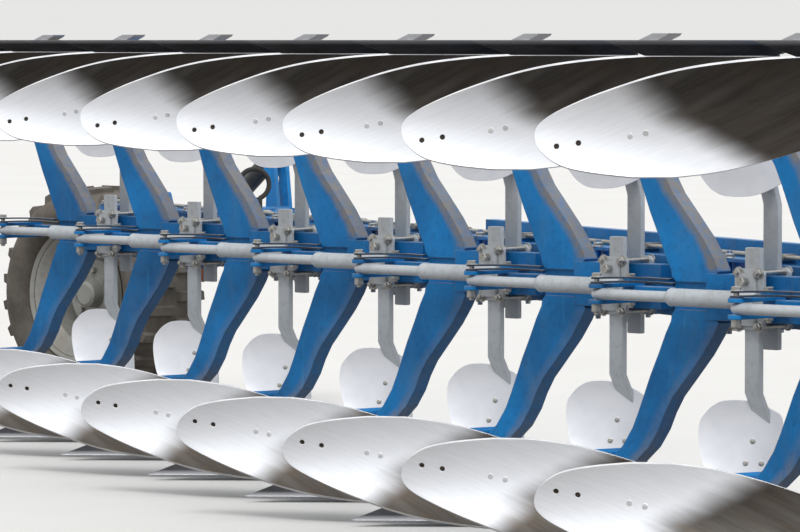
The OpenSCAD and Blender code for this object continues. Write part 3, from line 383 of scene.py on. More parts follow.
def board_steel():
    """Bright below and at the tail: a painted reflection of the sky on polished steel.
    Dark and streaked towards the share and the shin: soil stain with a painted dark reflection.
    """
    f = Finish("board_steel")
    x, y, z = f.axes()
    h = f.raw("ABSOLUTE", z)
    # soil slides up and back across the board, so the streaks run along u and vary along v
    u = f.raw("MULTIPLY_ADD", h, SLIDE_UP, f.raw("MULTIPLY", x, SLIDE_BACK))
    v = f.raw("MULTIPLY_ADD", x, -SLIDE_UP, f.raw("MULTIPLY", h, SLIDE_BACK))
    grain = f.add("CombineXYZ", (0, f.raw("MULTIPLY", u, 0.30)), (1, f.raw("MULTIPLY", v, 4.2)))
    streak = f.noise(3.4, 9.0, grain.outputs[0], rough=0.68, warp=0.15)
    hair = f.noise(26.0, 6.0, grain.outputs[0], rough=0.75)
    # Painted reflection: these two slanted lines part the bright painted reflection of the sky from
    # the dark part, where soil stain and a painted dark reflection lie together.
    line = f.raw("MULTIPLY_ADD", h, 1.55, f.raw("ADD", x, 0.07))
    top = f.raw("MULTIPLY_ADD", h, 0.60, f.raw("ADD", x, 0.645))
    past = f.raw("ADD", f.raw("MINIMUM", line, top), -0.06)
    stain_and_painted_reflection = f.between(f.raw("MULTIPLY_ADD", streak, 0.12, past), -0.080, 0.115,
                      interpolation_type="SMOOTHSTEP")
    cloud = f.ramp(f.noise(2.6, 4.0), (0.4, 0.0), (0.7, 0.7))
    # Soil stain with a painted dark reflection, and some rust.
    dark_stain_and_painted_reflection = f.mix(f.ramp(streak, (0.34, 0.0), (0.68, 1.0)),
                      (0.036, 0.032, 0.028), (0.125, 0.118, 0.110))
    rusty = f.math("MULTIPLY", cloud, f.ramp(hair, (0.4, 0.0), (0.7, 1.0)))
    dark_stain_and_painted_reflection = f.mix(rusty, dark_stain_and_painted_reflection, (0.12, 0.075, 0.04))
    # Polished steel carrying the painted reflection of the sky, in a fine grain.
    bright = f.mix(f.ramp(hair, (0.3, 0.0), (0.75, 1.0)), (0.78, 0.81, 0.86), (0.90, 0.92, 0.96))
    color = f.mix(stain_and_painted_reflection, bright, dark_stain_and_painted_reflection)
    edge, soft = f.edges(0.003, 0.02, 0.2)
    color = f.mix(f.math("MULTIPLY", edge, 0.8), color, (0.90, 0.91, 0.93))
    rough = f.mix(stain_and_painted_reflection, f.ramp(hair, (0.3, 0.30), (0.7, 0.40)),
                  f.ramp(hair, (0.3, 0.34), (0.7, 0.5)))
    metal = f.mix(stain_and_painted_reflection, (0.28,) * 3, (0.80,) * 3)
    return f.finish(color, rough, metal, f.bump(hair, 0.0002, 0.25, soft))


boards_steel = board_steel()
print("steel of the boards", boards_steel.name)

# %% [markdown]
# ## Shares
#
# The shares are nearly black from the soil, and only their cutting edge is ground bright.
# That edge lies at one height below the beam, and at the same height above it on the raised set,
# so the distance from the beam's middle tells where the bright lip starts.


# %% Steel of the shares
LIP_FROM, LIP_FULL = 0.808, 0.822


def share_steel():
    """Dark worn blade with bright edge lines."""
    f = Finish("share_steel")
    streak = f.noise(5.0, 8.0, f.scaled(1.0, 1.0, 4.0), rough=0.7)
    away = f.raw("ABSOLUTE", f.raw("SUBTRACT", f.axes()[2], BEAM_Z))
    lip = f.between(away, LIP_FROM, LIP_FULL)
    tone = f.mix(f.ramp(streak, (0.35, 0.0), (0.7, 1.0)), (0.035, 0.035, 0.038), (0.10, 0.10, 0.11))
    edge, soft = f.edges(0.004, 0.02, 0.2)
    bright = f.math("MAXIMUM", f.math("MULTIPLY", edge, 0.7), f.math("MULTIPLY", lip, 0.8))
    color = f.mix(bright, tone, (0.62, 0.63, 0.66))
    rough = f.ramp(streak, (0.3, 0.28), (0.7, 0.45))
    return f.finish(color, rough, 0.9, f.bump(streak, 0.0008, 0.3, soft))


shares_steel = share_steel()
print("steel of the shares", shares_steel.name)

# %% [markdown]
# ## Other metals, and painted shade for holes
#
# Bolts, pipes, skimmers and the lift's rod are plain steel of different ages;
# the skimmers' steel is brighter than its own tone, as painted light against the shade they sit in.
# One rule is enough for all of them: two close tones in clouds, a fine grain and bright edges.
# A dark plug in a hole follows the same rule, only dark, rough and without metal:
# it is painted shade for the hole's dark inside.


# %% Plain steels
def plain_steel(name, low, high, rough_low, rough_high, scale=12.0, metal=1.0):
    """Two tones in clouds of a scale, with brighter edges and a fine grain."""
    f = Finish(name)
    cloud = f.noise(scale, 6.0, rough=0.65)
    grain = f.noise(scale * 9, 3.0, f.scaled(1.0, 1.0, 3.0))
    edge, soft = f.edges(0.002, 0.03, 0.3)
    color = f.mix(f.ramp(cloud, (0.35, 0.0), (0.7, 1.0)), low, high)
    color = f.mix(f.math("MULTIPLY", edge, 0.5), color, tuple(min(1.0, v * 1.5) for v in high))
    rough = f.ramp(cloud, (0.3, rough_low), (0.7, rough_high))
    return f.finish(color, rough, metal, f.bump(grain, 0.0003, 0.3, soft))


# Painted light: near white, brighter than the skimmer's own steel, to make up for the shade on the
# skimmers.
skim_steel_painted_light = plain_steel("skimmer_steel_painted_light", (0.78, 0.80, 0.85), (0.93, 0.94, 0.97),
                         0.28, 0.42, 4.0, metal=0.3)
rim_steel = plain_steel("sheet_edge", (0.62, 0.63, 0.66), (0.92, 0.92, 0.93),
                        0.35, 0.5, 9.0, metal=0.3)
# Painted shade: a dark plug that stands in for the shade inside the board's holes.
hole_shade = plain_steel("hole_shade_plug", (0.020, 0.014, 0.010), (0.055, 0.040, 0.028),
                   0.85, 0.95, 60.0, metal=0.0)
zinc = plain_steel("zinc", (0.34, 0.33, 0.30), (0.58, 0.58, 0.56), 0.3, 0.5, 30.0, metal=0.85)
pipe_steel = plain_steel("pipe_steel", (0.28, 0.26, 0.22), (0.50, 0.49, 0.45),
                         0.3, 0.5, 16.0, metal=0.8)
bolt_steel = plain_steel("flush_bolt", (0.52, 0.53, 0.55), (0.74, 0.75, 0.77),
                         0.25, 0.4, 30.0, metal=0.6)
chrome = plain_steel("rod_chrome", (0.60, 0.61, 0.63), (0.72, 0.73, 0.75), 0.06, 0.14, 20.0)
print("plain steels ready")

# %% [markdown]
# ## Rubber
#
# The tyre is covered with dry soil dust, thickest between the lugs and on the shoulder.
# The hoses are black with only a little dust on top.


# %% Rubber
def rubber(name, base, dust, dusty, bump):
    f = Finish(name)
    cloud = f.noise(5.0, 7.0, rough=0.7)
    grit = f.noise(90.0, 4.0, rough=0.7)
    edge, soft = f.edges(0.006, 0.04, 0.4)
    film = f.ramp(cloud, (0.35, dusty * 0.35), (0.7, dusty))
    color = f.mix(film, base, dust)
    color = f.mix(f.math("MULTIPLY", edge, 0.4), color, tuple(v * 0.6 for v in base))
    rough = f.ramp(grit, (0.3, 0.72), (0.7, 0.92))
    return f.finish(color, rough, 0.0, f.bump(grit, bump, 0.5, soft))


tyre_rubber = rubber("tyre_rubber", (0.022, 0.021, 0.02), (0.16, 0.14, 0.115), 0.85, 0.0012)
hose_rubber = rubber("hose_rubber", (0.010, 0.010, 0.011), (0.10, 0.09, 0.075), 0.35, 0.0004)
print("rubbers ready")

# %% [markdown]
# ## Finishes on the solid model's own pieces
#
# The forged and welded pieces keep their solid form, and only get their paint:
# what isn't in the table is blue.

# %% Give the solid pieces their finish
FINISH_OF = {
    "leg": leg_blue, "boards": boards_steel, "shares": shares_steel, "skimmers": grey,
    "strut_rods": grey, "stand": grey, "pipes": pipe_steel, "hose_loop": hose_rubber,
    "lift_barrel": dark, "lift_rod": chrome, "rim": rim_paint, "tyre": tyre_rubber,
}
for name, piece in nodes.items():
    kind = name.rsplit("_", 1)[0] if name[-1].isdigit() else name
    piece.data.materials.clear()
    piece.data.materials.append(FINISH_OF.get(kind, blue))
print("finishes given to", len(nodes), "pieces")

# %% [markdown]
# ## Meshes from points
#
# New pieces are meshes in their body's own place, so that a finish can read how far along
# the tool a spot lies.
# Points that coincide are merged and all faces turned outward, since worn edges need
# a clean closed skin.


# %% Meshes from points
def make_mesh(name, points, faces, material, smooth=35):
    """A mesh with one finish, smooth where neighbouring faces meet flatter than an angle."""
    mesh = bpy.data.meshes.new(name)
    mesh.from_pydata([tuple(p) for p in points], [], faces)
    mesh.materials.append(material)
    close(mesh, smooth)
    return mesh


def close(mesh, smooth=35):
    """Faces outward, with soft shading up to an angle."""
    b = bmesh.new()
    b.from_mesh(mesh)
    bmesh.ops.remove_doubles(b, verts=b.verts, dist=0.00002)
    bmesh.ops.recalc_face_normals(b, faces=b.faces)
    b.to_mesh(mesh)
    b.free()
    mesh.shade_smooth()
    mesh.set_sharp_from_angle(angle=math.radians(smooth))


print("points to meshes ready")

# %% [markdown]
# ## Joining, mirroring and placing
#
# Parts that are bolted together share one mesh, in which each keeps its own finish.
# The raised set of tools is the working set upside down, so a mirror image in height is enough.
# Each piece then rides on a body, so that it follows that body's joint.


# %% Joined, mirrored and placed
def joined(name, *meshes):
    """Several meshes as one, each keeping its own finish."""
    b = bmesh.new()
    finishes = []
    for m in meshes:
        start = len(b.faces)
        b.from_mesh(m)
        b.faces.ensure_lookup_table()
        for face in b.faces[start:]:
            finish = m.materials[face.material_index]
            if finish not in finishes:
                finishes.append(finish)
            face.material_index = finishes.index(finish)
    mesh = bpy.data.meshes.new(name)
    b.to_mesh(mesh)
    b.free()
    for finish in finishes:
        mesh.materials.append(finish)
    mesh.shade_smooth()
    mesh.set_sharp_from_angle(angle=math.radians(35))
    return mesh


def mirrored(mesh, name):
    """The same piece for the other set: its mirror image in height."""
    copy = mesh.copy()
    copy.name = name
    copy.transform(Matrix.Scale(-1, 4, (0, 0, 1)))
    copy.flip_normals()
    return copy


def place(name, mesh, where, body, slot=None, turn=0.0):
    """Puts a mesh at its place, and lets it ride on its body."""
    piece = bpy.data.objects.new(name, mesh)
    piece.location = where
    piece.rotation_euler = (0, 0, turn)
    bpy.context.scene.collection.objects.link(piece)
    bpy.context.view_layer.update()
    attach(piece, body)
    return piece


print("placing ready")

# %% [markdown]
# ## Turned pieces
#
# Bolt heads, pins, rods and plugs are all round, as if made on a lathe.
# A short profile of radius and height is turned about an axis, and six steps instead of twenty
# make a hexagon of it.


# %% Turned pieces
def turned(profile, material, steps=24, matrix=None, smooth=35):
    """A profile of (radius, height) pairs turned about Z, with flat ends, moved by a matrix."""
    first, last = profile[0], profile[-1]
    profile = [(0, first[1])] * (first[0] > 0) + profile + [(0, last[1])] * (last[0] > 0)
    points, faces, rings = [], [], []
    for r, z in profile:
        if r < 1e-6:
            rings.append([len(points)] * steps)
            points.append((0, 0, z))
        else:
            rings.append(list(range(len(points), len(points) + steps)))
            for k in range(steps):
                a = 2 * math.pi * k / steps
                points.append((r * math.cos(a), r * math.sin(a), z))
    for low, high in zip(rings, rings[1:]):
        for k in range(steps):
            ring = [low[k], low[(k + 1) % steps], high[(k + 1) % steps], high[k]]
            ring = list(dict.fromkeys(ring))
            if len(ring) > 2:
                faces.append(tuple(ring))
    mesh = make_mesh("turned", points, faces, material, smooth)
    if matrix is not None:
        mesh.transform(matrix)
    return mesh


def toward(direction, where=(0, 0, 0)):
    """A matrix that turns Z to a direction and moves to a place."""
    turn = Vector(direction).to_track_quat("Z", "Y").to_matrix().to_4x4()
    return Matrix.Translation(where) @ turn


print("lathe ready")

# %% [markdown]
# ## The mouldboard's form
#
# A mouldboard is one steel sheet, pressed so that every level line swings further outward
# towards the tail.
# Its surface follows the same rule as the solid model, only with many more rows,
# so that the mirror bright tail shows no facets.
# A place on it is given by how far it lies behind the shin, the board's front edge,
# and how far away from the beam.


# %% Rule of the mouldboard
SHIN_X, SHIN_BEND, SHIN_FROM, SHIN_TALL = -0.260, 0.035, 0.625, 0.149
FACE_Y, EDGE_H = -0.020, 0.420
LINE_ANGLE, LINE_TWIST = 22, 147
HOLLOW, HOLLOW_H = 0.8, 0.620


def shin_x(h):
    """How far ahead the shin is at a height: straight above, curved forward at the share."""
    t = max(0.0, min(1.0, (h - SHIN_FROM) / SHIN_TALL))
    return SHIN_X - SHIN_BEND * (1 - t * t)


def board_point(s, h):
    """A point of the lower board's face, s metres behind the shin and h away from the beam."""
    a = math.radians(LINE_ANGLE + LINE_TWIST * (h - EDGE_H) ** 2)
    return Vector((shin_x(h) - s * math.cos(a),
                   FACE_Y - s * math.sin(a) - HOLLOW * s * s * (HOLLOW_H - h), -h))


def normal_of(point):
    """The direction square to a face, from the rule that gives its points."""
    d = 0.001

    def normal(s, h):
        across = point(s + d, h) - point(s - d, h)
        up = point(s, h + d) - point(s, h - d)
        return across.cross(up).normalized()
    return normal


board_normal = normal_of(board_point)
print("board's tail at", [round(v, 3) for v in board_point(1.1, 0.56)])

# %% [markdown]
# ## Sheets
#
# The board's outline is a short table of rows, each with its height and both its ends.
# A smooth curve through that table gives the rows between them, with a rounded tail.
# Face and back lie one thickness apart, and the bright cut edge between them has its own slot.


# %% Rows and sheets
def smooth_rows(rows, parts):
    """More rows between the given ones, on a curve through them that never overshoots by much."""
    out = []
    for i in range(len(rows) - 1):
        a, b = rows[max(i - 1, 0)], rows[i]
        c, d = rows[i + 1], rows[min(i + 2, len(rows) - 1)]
        for k in range(parts):
            t = k / parts
            out.append(tuple(
                0.5 * (2 * q + (r - p) * t + (2 * p - 5 * q + 4 * r - w) * t * t
                       + (3 * q - p - 3 * r + w) * t ** 3)
                for p, q, r, w in zip(a, b, c, d)))
    return out + [rows[-1]]


def two_layers(rows, columns):
    """Faces of a closed sheet made of two layers of points; those of its rim come last."""
    wide = columns + 1
    layer = wide * rows
    faces = []
    for i in range(rows - 1):
        for j in range(columns):
            k = i * wide + j
            faces.append((k, k + 1, k + wide + 1, k + wide))
            faces.append((k + layer, k + wide + layer, k + wide + 1 + layer, k + 1 + layer))
    rim = list(range(wide)) + [i * wide + columns for i in range(1, rows)]
    rim += [(rows - 1) * wide + columns - j for j in range(1, wide)]
    rim += [i * wide for i in range(rows - 2, 0, -1)]
    faces += [(b, a, a + layer, b + layer) for a, b in zip(rim, rim[1:] + rim[:1])]
    return faces, len(rim)


def sheet(rows, columns, point, thick, material, name):
    """A closed sheet: the face by its rule, the back parallel to it."""
    normal = normal_of(point)
    points = []
    for depth in (0.0, thick):
        for h, start, end in rows:
            for j in range(columns + 1):
                s = start + (end - start) * j / columns
                points.append(point(s, h) - depth * normal(s, h))
    faces, around = two_layers(len(rows), columns)
    mesh = make_mesh(name, points, faces, material, 50)
    mesh.materials.append(rim_steel)
    for face in mesh.polygons[-around:]:
        face.material_index = 1
    return mesh


# Height away from the beam, front end and rear end of each row
BOARD_ROWS = [
    (0.774, 0, 0.405), (0.765, 0, 0.552), (0.746, 0, 0.711), (0.720, 0, 0.830), (0.687, 0, 0.932),
    (0.645, 0, 1.037), (0.600, 0.040, 1.118), (0.560, 0.170, 1.140), (0.515, 0.325, 1.117),
    (0.480, 0.435, 1.073), (0.452, 0.535, 1.015), (0.434, 0.620, 0.930), (0.422, 0.715, 0.825),
]
THICK = 0.009
lower_board = sheet(smooth_rows(BOARD_ROWS, 4), 36, board_point, THICK, boards_steel, "board_low")
print("faces of the sheet", len(lower_board.polygons))

# %% [markdown]
# ## Holes, painted shade and flush bolts
#
# Two holes near the tail are for an extension that isn't fitted, and a dark plug deep in each
# is painted shade for the hole's dark inside.
# The flush heads of plough bolts show where the stay and the frog are behind the sheet.
# A boolean cut gives the holes a true wall, which a dark spot in the material wouldn't.


# %% Mouldboards with holes and bolts
def drilled(mesh, places, radius):
    """Cuts round holes through a sheet; each place is a matrix that stands on its face."""
    tool = joined("drill", *[turned([(radius, -0.03), (radius, 0.03)], mesh.materials[0], 20, at)
                             for at in places])
    a = bpy.data.objects.new("board", mesh)
    b = bpy.data.objects.new("drill", tool)
    for o in (a, b):
        bpy.context.scene.collection.objects.link(o)
    cut = a.modifiers.new("cut", "BOOLEAN")
    cut.object = b
    cut.solver = "EXACT"
    result = bpy.data.meshes.new_from_object(a.evaluated_get(bpy.context.evaluated_depsgraph_get()))
    for o in (a, b):
        bpy.data.objects.remove(o)
    return result


# Behind the shin, away from the beam
HOLES, HOLE_R = [(1.060, 0.511), (1.003, 0.521)], 0.0085
BOLTS = [(0.863, 0.542), (0.820, 0.551), (0.110, 0.715), (0.110, 0.664), (0.190, 0.690)]
FLUSH_HEAD = [(0.0085, -0.002), (0.0085, 0.0002), (0.0070, 0.0006), (0.003, 0.0008)]
# Painted shade: a dark plug sunk in each hole, for the shade inside it.
PLUG = [(HOLE_R + 0.0005, -0.0088), (HOLE_R + 0.0005, -0.0045), (0, -0.0035)]


def on_board(s, h):
    return toward(board_normal(s, h), board_point(s, h))


holes = [on_board(s, h) for s, h in HOLES]
heads = [turned(FLUSH_HEAD, bolt_steel, 20, on_board(s, h)) for s, h in BOLTS]
# Dark plugs as painted shade inside the holes.
plugs = [turned(PLUG, hole_shade, 16, at) for at in holes]
lower_board = joined("board_low", drilled(lower_board, holes, HOLE_R), *heads, *plugs)
upper_board = mirrored(lower_board, "board_up")
for n in BODIES:
    for word, mesh in (("low", lower_board), ("up", upper_board)):
        piece = place(f"board_{word}_{n}", mesh, body_place(n), "frame", "polished_steel")
        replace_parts(piece, f"boards_{n}")
print("board faces", len(lower_board.polygons))

# %% [markdown]
# ## Rounded bars and bolts
#
# Bars and plates are outlines given a thickness, with a small bevel on every sharp edge,
# because sawn steel is never knife sharp and the bevel catches the light.
# A bolt end is a washer, a chamfered hexagon and, above a nut, the end of the thread.


# %% Outlines, bevels and bolts
def bevelled(mesh, width, angle=40):
    """Rounds every edge of a mesh that is sharper than an angle."""
    b = bmesh.new()
    b.from_mesh(mesh)
    sharp = [e for e in b.edges if e.is_manifold and e.calc_face_angle(0) > math.radians(angle)]
    bmesh.ops.bevel(b, geom=sharp, offset=width, segments=2, affect="EDGES", profile=0.5)
    b.to_mesh(mesh)
    b.free()
    close(mesh)
    return mesh


AXIS_ORDER = {"X": (2, 0, 1), "Y": (0, 2, 1), "Z": (0, 1, 2)}


def prism(outline, low, high, material, axis, name):
    """An outline given thickness along one axis: X takes (y, z), Y takes (x, z), Z takes (x, y)."""
    count = len(outline)
    points = [[(u, v, w)[i] for i in AXIS_ORDER[axis]] for w in (low, high) for u, v in outline]
    faces = [tuple(range(count)), tuple(range(2 * count - 1, count - 1, -1))]
    faces += [(i, (i + 1) % count, count + (i + 1) % count, count + i) for i in range(count)]
    return make_mesh(name, points, faces, material)


def bolt(size, matrix, nut=0.0, washer=True):
    """A hexagon bolt end: washer, chamfered hexagon and, above a nut, the thread's end."""
    r = size * 0.9
    base = size * 0.14 if washer else 0
    top = base + size * 0.65
    parts = []
    if washer:
        rim = size * 1.15
        parts.append(turned([(rim, 0), (rim, base)], zinc, 20, matrix))
    head = [(r, base), (r, top - size * 0.1), (r * 0.86, top)]
    parts.append(turned(head, zinc, 6, matrix))
    if nut:
        low, high = top - 0.001, top + nut
        thread = [(size * 0.5, low), (size * 0.5, high - 0.001), (size * 0.42, high)]
        parts.append(turned(thread, zinc, 12, matrix))
    return joined("bolt", *parts)


print("bars and bolts ready")

# %% [markdown]
# ## The skimmer's board
#
# A skimmer is a small board on a flat bar, just ahead of its body.
# Its sheet is formed by the solid model's own rule, and a pad behind it takes three bolts.

# %% Skimmer boards
SKIM_DEPTH = 0.600
SKIM_TIP_X, SKIM_TIP_Y, SKIM_LEAN = 0.345, 0.016, 0.060
SKIM_ANGLE, SKIM_TWIST, SKIM_CURL, SKIM_HOLLOW = 38, 120, 260, 0.6
FOOT_Y = -0.0015


def skim_point(s, h):
    """A point of the lower skimmer's face, s metres behind its front edge, h from the beam."""
    u = SKIM_DEPTH - h
    a = math.radians(SKIM_ANGLE - SKIM_TWIST * u + SKIM_CURL * u * u)
    return Vector((SKIM_TIP_X - SKIM_LEAN * u - s * math.cos(a),
                   SKIM_TIP_Y - s * math.sin(a) - SKIM_HOLLOW * s * s * u, -h))


skim_normal = normal_of(skim_point)
# Height away from the beam, front end and rear end of each row
SKIM_ROWS = [
    (0.600, 0, 0.205), (0.555, 0, 0.250), (0.500, 0, 0.268), (0.440, 0, 0.275), (0.395, 0, 0.268),
    (0.370, 0.006, 0.251), (0.352, 0.034, 0.234), (0.340, 0.060, 0.217), (0.3315, 0.086, 0.200),
    (0.3270, 0.110, 0.180), (0.3250, 0.136, 0.156),
]
SKIM_THICK = 0.006
PAD_HEIGHTS, PAD_FROM, PAD_TO, PAD_SINK = (0.540, 0.485, 0.430), 0.040, 0.150, 0.005
PAD_PARTS = 4
SKIM_BOLTS = [(0.075, 0.525), (0.125, 0.525), (0.100, 0.455)]
SKIM_HEAD = [(0.009, -0.002), (0.009, 0.0003), (0.007, 0.0011)]


def skim_pad():
    """A wedge between the sheet's back and the flat face of the bar's foot."""
    front = []
    for h in PAD_HEIGHTS:
        for k in range(PAD_PARTS + 1):
            s = PAD_FROM + (PAD_TO - PAD_FROM) * k / PAD_PARTS
            front.append(skim_point(s, h) - PAD_SINK * skim_normal(s, h))
    back = [Vector((p.x, FOOT_Y + 0.001, p.z)) for p in front]
    faces = two_layers(len(PAD_HEIGHTS), PAD_PARTS)[0]
    return make_mesh("pad", front + back, faces, grey)


# The skimmer's sheet takes its steel with painted light.
skim_sheet = sheet(smooth_rows(SKIM_ROWS, 3), 14, skim_point, SKIM_THICK, skim_steel_painted_light, "skim_low")
skim_heads = [turned(SKIM_HEAD, zinc, 16, toward(skim_normal(s, h), skim_point(s, h)))
              for s, h in SKIM_BOLTS]
foot = joined("skimmer_foot", skim_sheet, skim_pad(), *skim_heads)
foot_up = mirrored(foot, "skimmer_foot_up")
print("faces of a skimmer's board", len(foot.polygons))

# %% [markdown]
# ## Stalks and clamps
#
# The bar of a skimmer is cranked sideways below the clamp, so that its board stands in line
# with the body behind it.
# Two plates and four long bolts squeeze both bars against the carrier, a set screw keeps
# each one at its depth, and the clamp's channel is a raised rib over the bar.

# %% Stalks and clamps
SKIM_X = 0.265
STALK_W, STALK_T, STALK_STUB = 0.060, 0.025, 0.165
CRANK_FROM, CRANK_TO = 0.300, 0.400
BAR_T, CLAMP_T, CLAMP_W, CLAMP_H = 0.066, 0.014, 0.120, 0.196
SEAT = 0.0003
STALK_Y1 = -BAR_T / 2 - SEAT
STALK_Y0 = STALK_Y1 - STALK_T
CLAMP_Y1 = STALK_Y0 - SEAT
CLAMP_Y0 = CLAMP_Y1 - CLAMP_T
RIB_H, SCREW_Z = 0.016, 0.058
CLAMP_BOLT_X, CLAMP_BOLT_Z, CLAMP_BOLT_R = 0.041, 0.085, 0.008


def stalk(y, top):
    """A cranked flat bar from its stub down to the skimmer; y is its right face in the clamp."""
    end = SKIM_DEPTH - 0.040
    line = [(y, STALK_STUB), (y, -CRANK_FROM), (FOOT_Y, -CRANK_TO), (FOOT_Y, -end)]
    side = line + [(v + STALK_T, z) for v, z in reversed(line)]
    x0 = SKIM_X - STALK_W / 2
    mesh = prism(side, x0, x0 + STALK_W, grey, "X", "stalk")
    bevelled(mesh, 0.004, 50)
    return mirrored(mesh, "stalk_up") if top else mesh


def clamp_plate(out):
    """A clamp plate with its raised channel, and a set screw that stands out by a length."""
    w, h, cut = CLAMP_W / 2, CLAMP_H / 2, 0.014
    corners = [(-w + cut, -h), (w - cut, -h), (w, -h + cut), (w, h - cut),
               (w - cut, h), (-w + cut, h), (-w, h - cut), (-w, -h + cut)]
    plate = prism([(SKIM_X + x, z) for x, z in corners], CLAMP_Y0, CLAMP_Y1, grey, "Y", "plate")
    bevelled(plate, 0.0025)
    c, t = STALK_W / 2 + 0.004, h - 0.014
    rib = [(-c, 0.001), (-c, -0.010), (-c + 0.008, -RIB_H),
           (c - 0.008, -RIB_H), (c, -0.010), (c, 0.001)]
    channel = prism([(SKIM_X + x, CLAMP_Y0 + y) for x, y in rib], -t, t, grey, "Z", "channel")
    bevelled(channel, 0.0025)
    screw = Vector((SKIM_X, CLAMP_Y0 - RIB_H, SCREW_Z))
    lock = turned([(0.012, -0.001), (0.012, out + 0.003)], zinc, 20, toward((0, -1, 0), screw))
    head = bolt(0.019, toward((0, -1, 0), screw + Vector((0, -out - 0.001, 0))), 0.0, False)
    return joined("clamp", plate, channel, lock, head)


def clamp_bolts():
    """Four long bolts with their nuts at both ends."""
    parts = []
    reach = -CLAMP_Y0
    shank = [(CLAMP_BOLT_R, -reach - 0.004), (CLAMP_BOLT_R, reach + 0.004)]
    for sx in (-1, 1):
        for sz in (-1, 1):
            where = Vector((SKIM_X + sx * CLAMP_BOLT_X, 0, sz * CLAMP_BOLT_Z))
            parts.append(turned(shank, zinc, 16, toward((0, 1, 0), where)))
            for way, nut in ((-1, 0.010), (1, 0.0)):
                end = where + Vector((0, way * reach, 0))
                parts.append(bolt(0.0165, toward((0, way, 0), end), nut))
    return joined("clamp_bolts", *parts)


far_plate = clamp_plate(0.004)
far_plate.transform(Matrix.Rotation(math.pi, 4, "X"))
holder = joined("skimmer_holder", clamp_plate(0.018), far_plate, clamp_bolts(),
                stalk(STALK_Y0, False), stalk(-STALK_Y1, True))
for n in BODIES:
    held = place(f"skimmer_holder_{n}", holder, body_place(n), "frame", "grey_paint")
    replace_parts(held, f"skimmers_{n}")
    for word, mesh in (("low", foot), ("up", foot_up)):
        board = place(f"skimmer_{word}_{n}", mesh, body_place(n), "frame", "polished_steel")
        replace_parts(board, f"skimmers_{n}")
print("skimmer faces", len(holder.polygons) + 2 * len(foot.polygons))

# %% [markdown]
# ## Strut rods
#
# Beside every leg runs a round rod: a thin bar with a domed end that slides into a thick tube.
# A long pin with nuts holds each end in its fork,
# and two springy straps reach from the rear pin to the leg.
# The tube's mouth is pressed down on the bar with a small bead.

# %% Straps
ROD_Y = CLAMP_Y0 - RIB_H - 0.003 - 0.029
ROD_BACK, ROD_FRONT, FORK_FACE = -0.335, 0.385, 0.0335
LEG_PIN = (-0.094, -0.023)
STRAP_END_X, STRAP_T, STRAP_STEPS = -0.0905, 0.006, 12


def strap(turn, up, bow):
    """A flat strap from the rear pin to the leg, slightly bowed upward."""
    aim = math.atan2(LEG_PIN[1] - ROD_Y, LEG_PIN[0] - ROD_BACK) - math.radians(turn)
    along = Vector((math.cos(aim), math.sin(aim), 0))
    side = Vector((-along.y, along.x, 0))
    thick = Vector((0, 0, STRAP_T))
    run = (STRAP_END_X - ROD_BACK) / along.x
    points, faces = [], []
    for k in range(STRAP_STEPS + 1):
        t = k / STRAP_STEPS
        half = side * (0.017 - 0.005 * math.sin(math.pi * min(1.0, t * 1.1)))
        middle = Vector((ROD_BACK, ROD_Y, up + bow * math.sin(math.pi * t)))
        middle += along * (run * t - 0.012 * (1 - t))
        points += [middle - half, middle + half, middle + half + thick, middle - half + thick]
        if k:
            a = 4 * (k - 1)
            faces += [(a + i, a + (i + 1) % 4, a + 4 + (i + 1) % 4, a + 4 + i) for i in range(4)]
    last = 4 * STRAP_STEPS
    faces += [(0, 1, 2, 3), (last + 3, last + 2, last + 1, last)]
    return make_mesh("strap", points, faces, strap_paint, 30)


straps = [strap(0, FORK_FACE, 0.005), strap(3, FORK_FACE + 0.015, 0.003)]
print("straps", len(straps))

# %% [markdown]
# ## Rods and their pins
#
# Bar and tube are turned as one profile, because they never move against each other at work.
# The pins stand upright in the forks, and the rear one is longer by the height of the straps.

# %% Rods, pins and washers
# Radius, and place along the rod from its domed rear end to its domed front end
ROD_LINE = [
    (0, -0.353), (0.009, -0.3506), (0.0155, -0.344), (0.018, -0.335), (0.018, -0.031),
    (0.0225, -0.028), (0.0290, -0.018), (0.0300, -0.014), (0.0300, -0.010), (0.0290, -0.007),
    (0.0290, 0.333), (0.0275, 0.341), (0.0190, 0.3415), (0.018, 0.345), (0.018, 0.385),
    (0.0155, 0.394), (0.009, 0.4006), (0, 0.403),
]
WASHER = [(0.021, 0.0), (0.021, 0.005), (0.019, 0.0062)]
LONG_NUT = [(0.017, 0), (0.017, 0.024), (0.0145, 0.027)]
PIN_R, PIN_END_R, PIN_LOW = 0.009, 0.0075, -0.068


def long_pin(x, top):
    """A pin through the fork, with a nut above and a long nut below."""
    shank = [(PIN_END_R, PIN_LOW), (PIN_R, PIN_LOW + 0.002), (PIN_R, top)]
    return [turned(shank, zinc, 16, Matrix.Translation((x, ROD_Y, 0))),
            turned(LONG_NUT, zinc, 6, toward((0, 0, -1), (x, ROD_Y, -FORK_FACE))),
            bolt(0.018, toward((0, 0, 1), (x, ROD_Y, top - 0.001)))]


rod = turned(ROD_LINE, grey, 40, toward((1, 0, 0), (0, ROD_Y, 0)), smooth=28)
washer = turned(WASHER, strap_paint, 24, Matrix.Translation((ROD_BACK, ROD_Y, FORK_FACE)))
rod_set = joined("rod_set", rod, washer, *straps, *long_pin(ROD_BACK, FORK_FACE + 0.022),
                 *long_pin(ROD_FRONT, FORK_FACE))
for n in BODIES:
    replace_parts(place(f"rod_{n}", rod_set, body_place(n), "frame", "grey_paint"), "strut_rods")
print("rod faces", len(rod_set.polygons))

# %% [markdown]
# ## Nuts and pipe unions
#
# The saddle plates are drawn together by long bolts, with a nut and washer at each end.
# The oil pipes on the beam are joined by hexagon unions, brighter than the pipes themselves.
# The flange of the turnover axle has a ring of bolts.

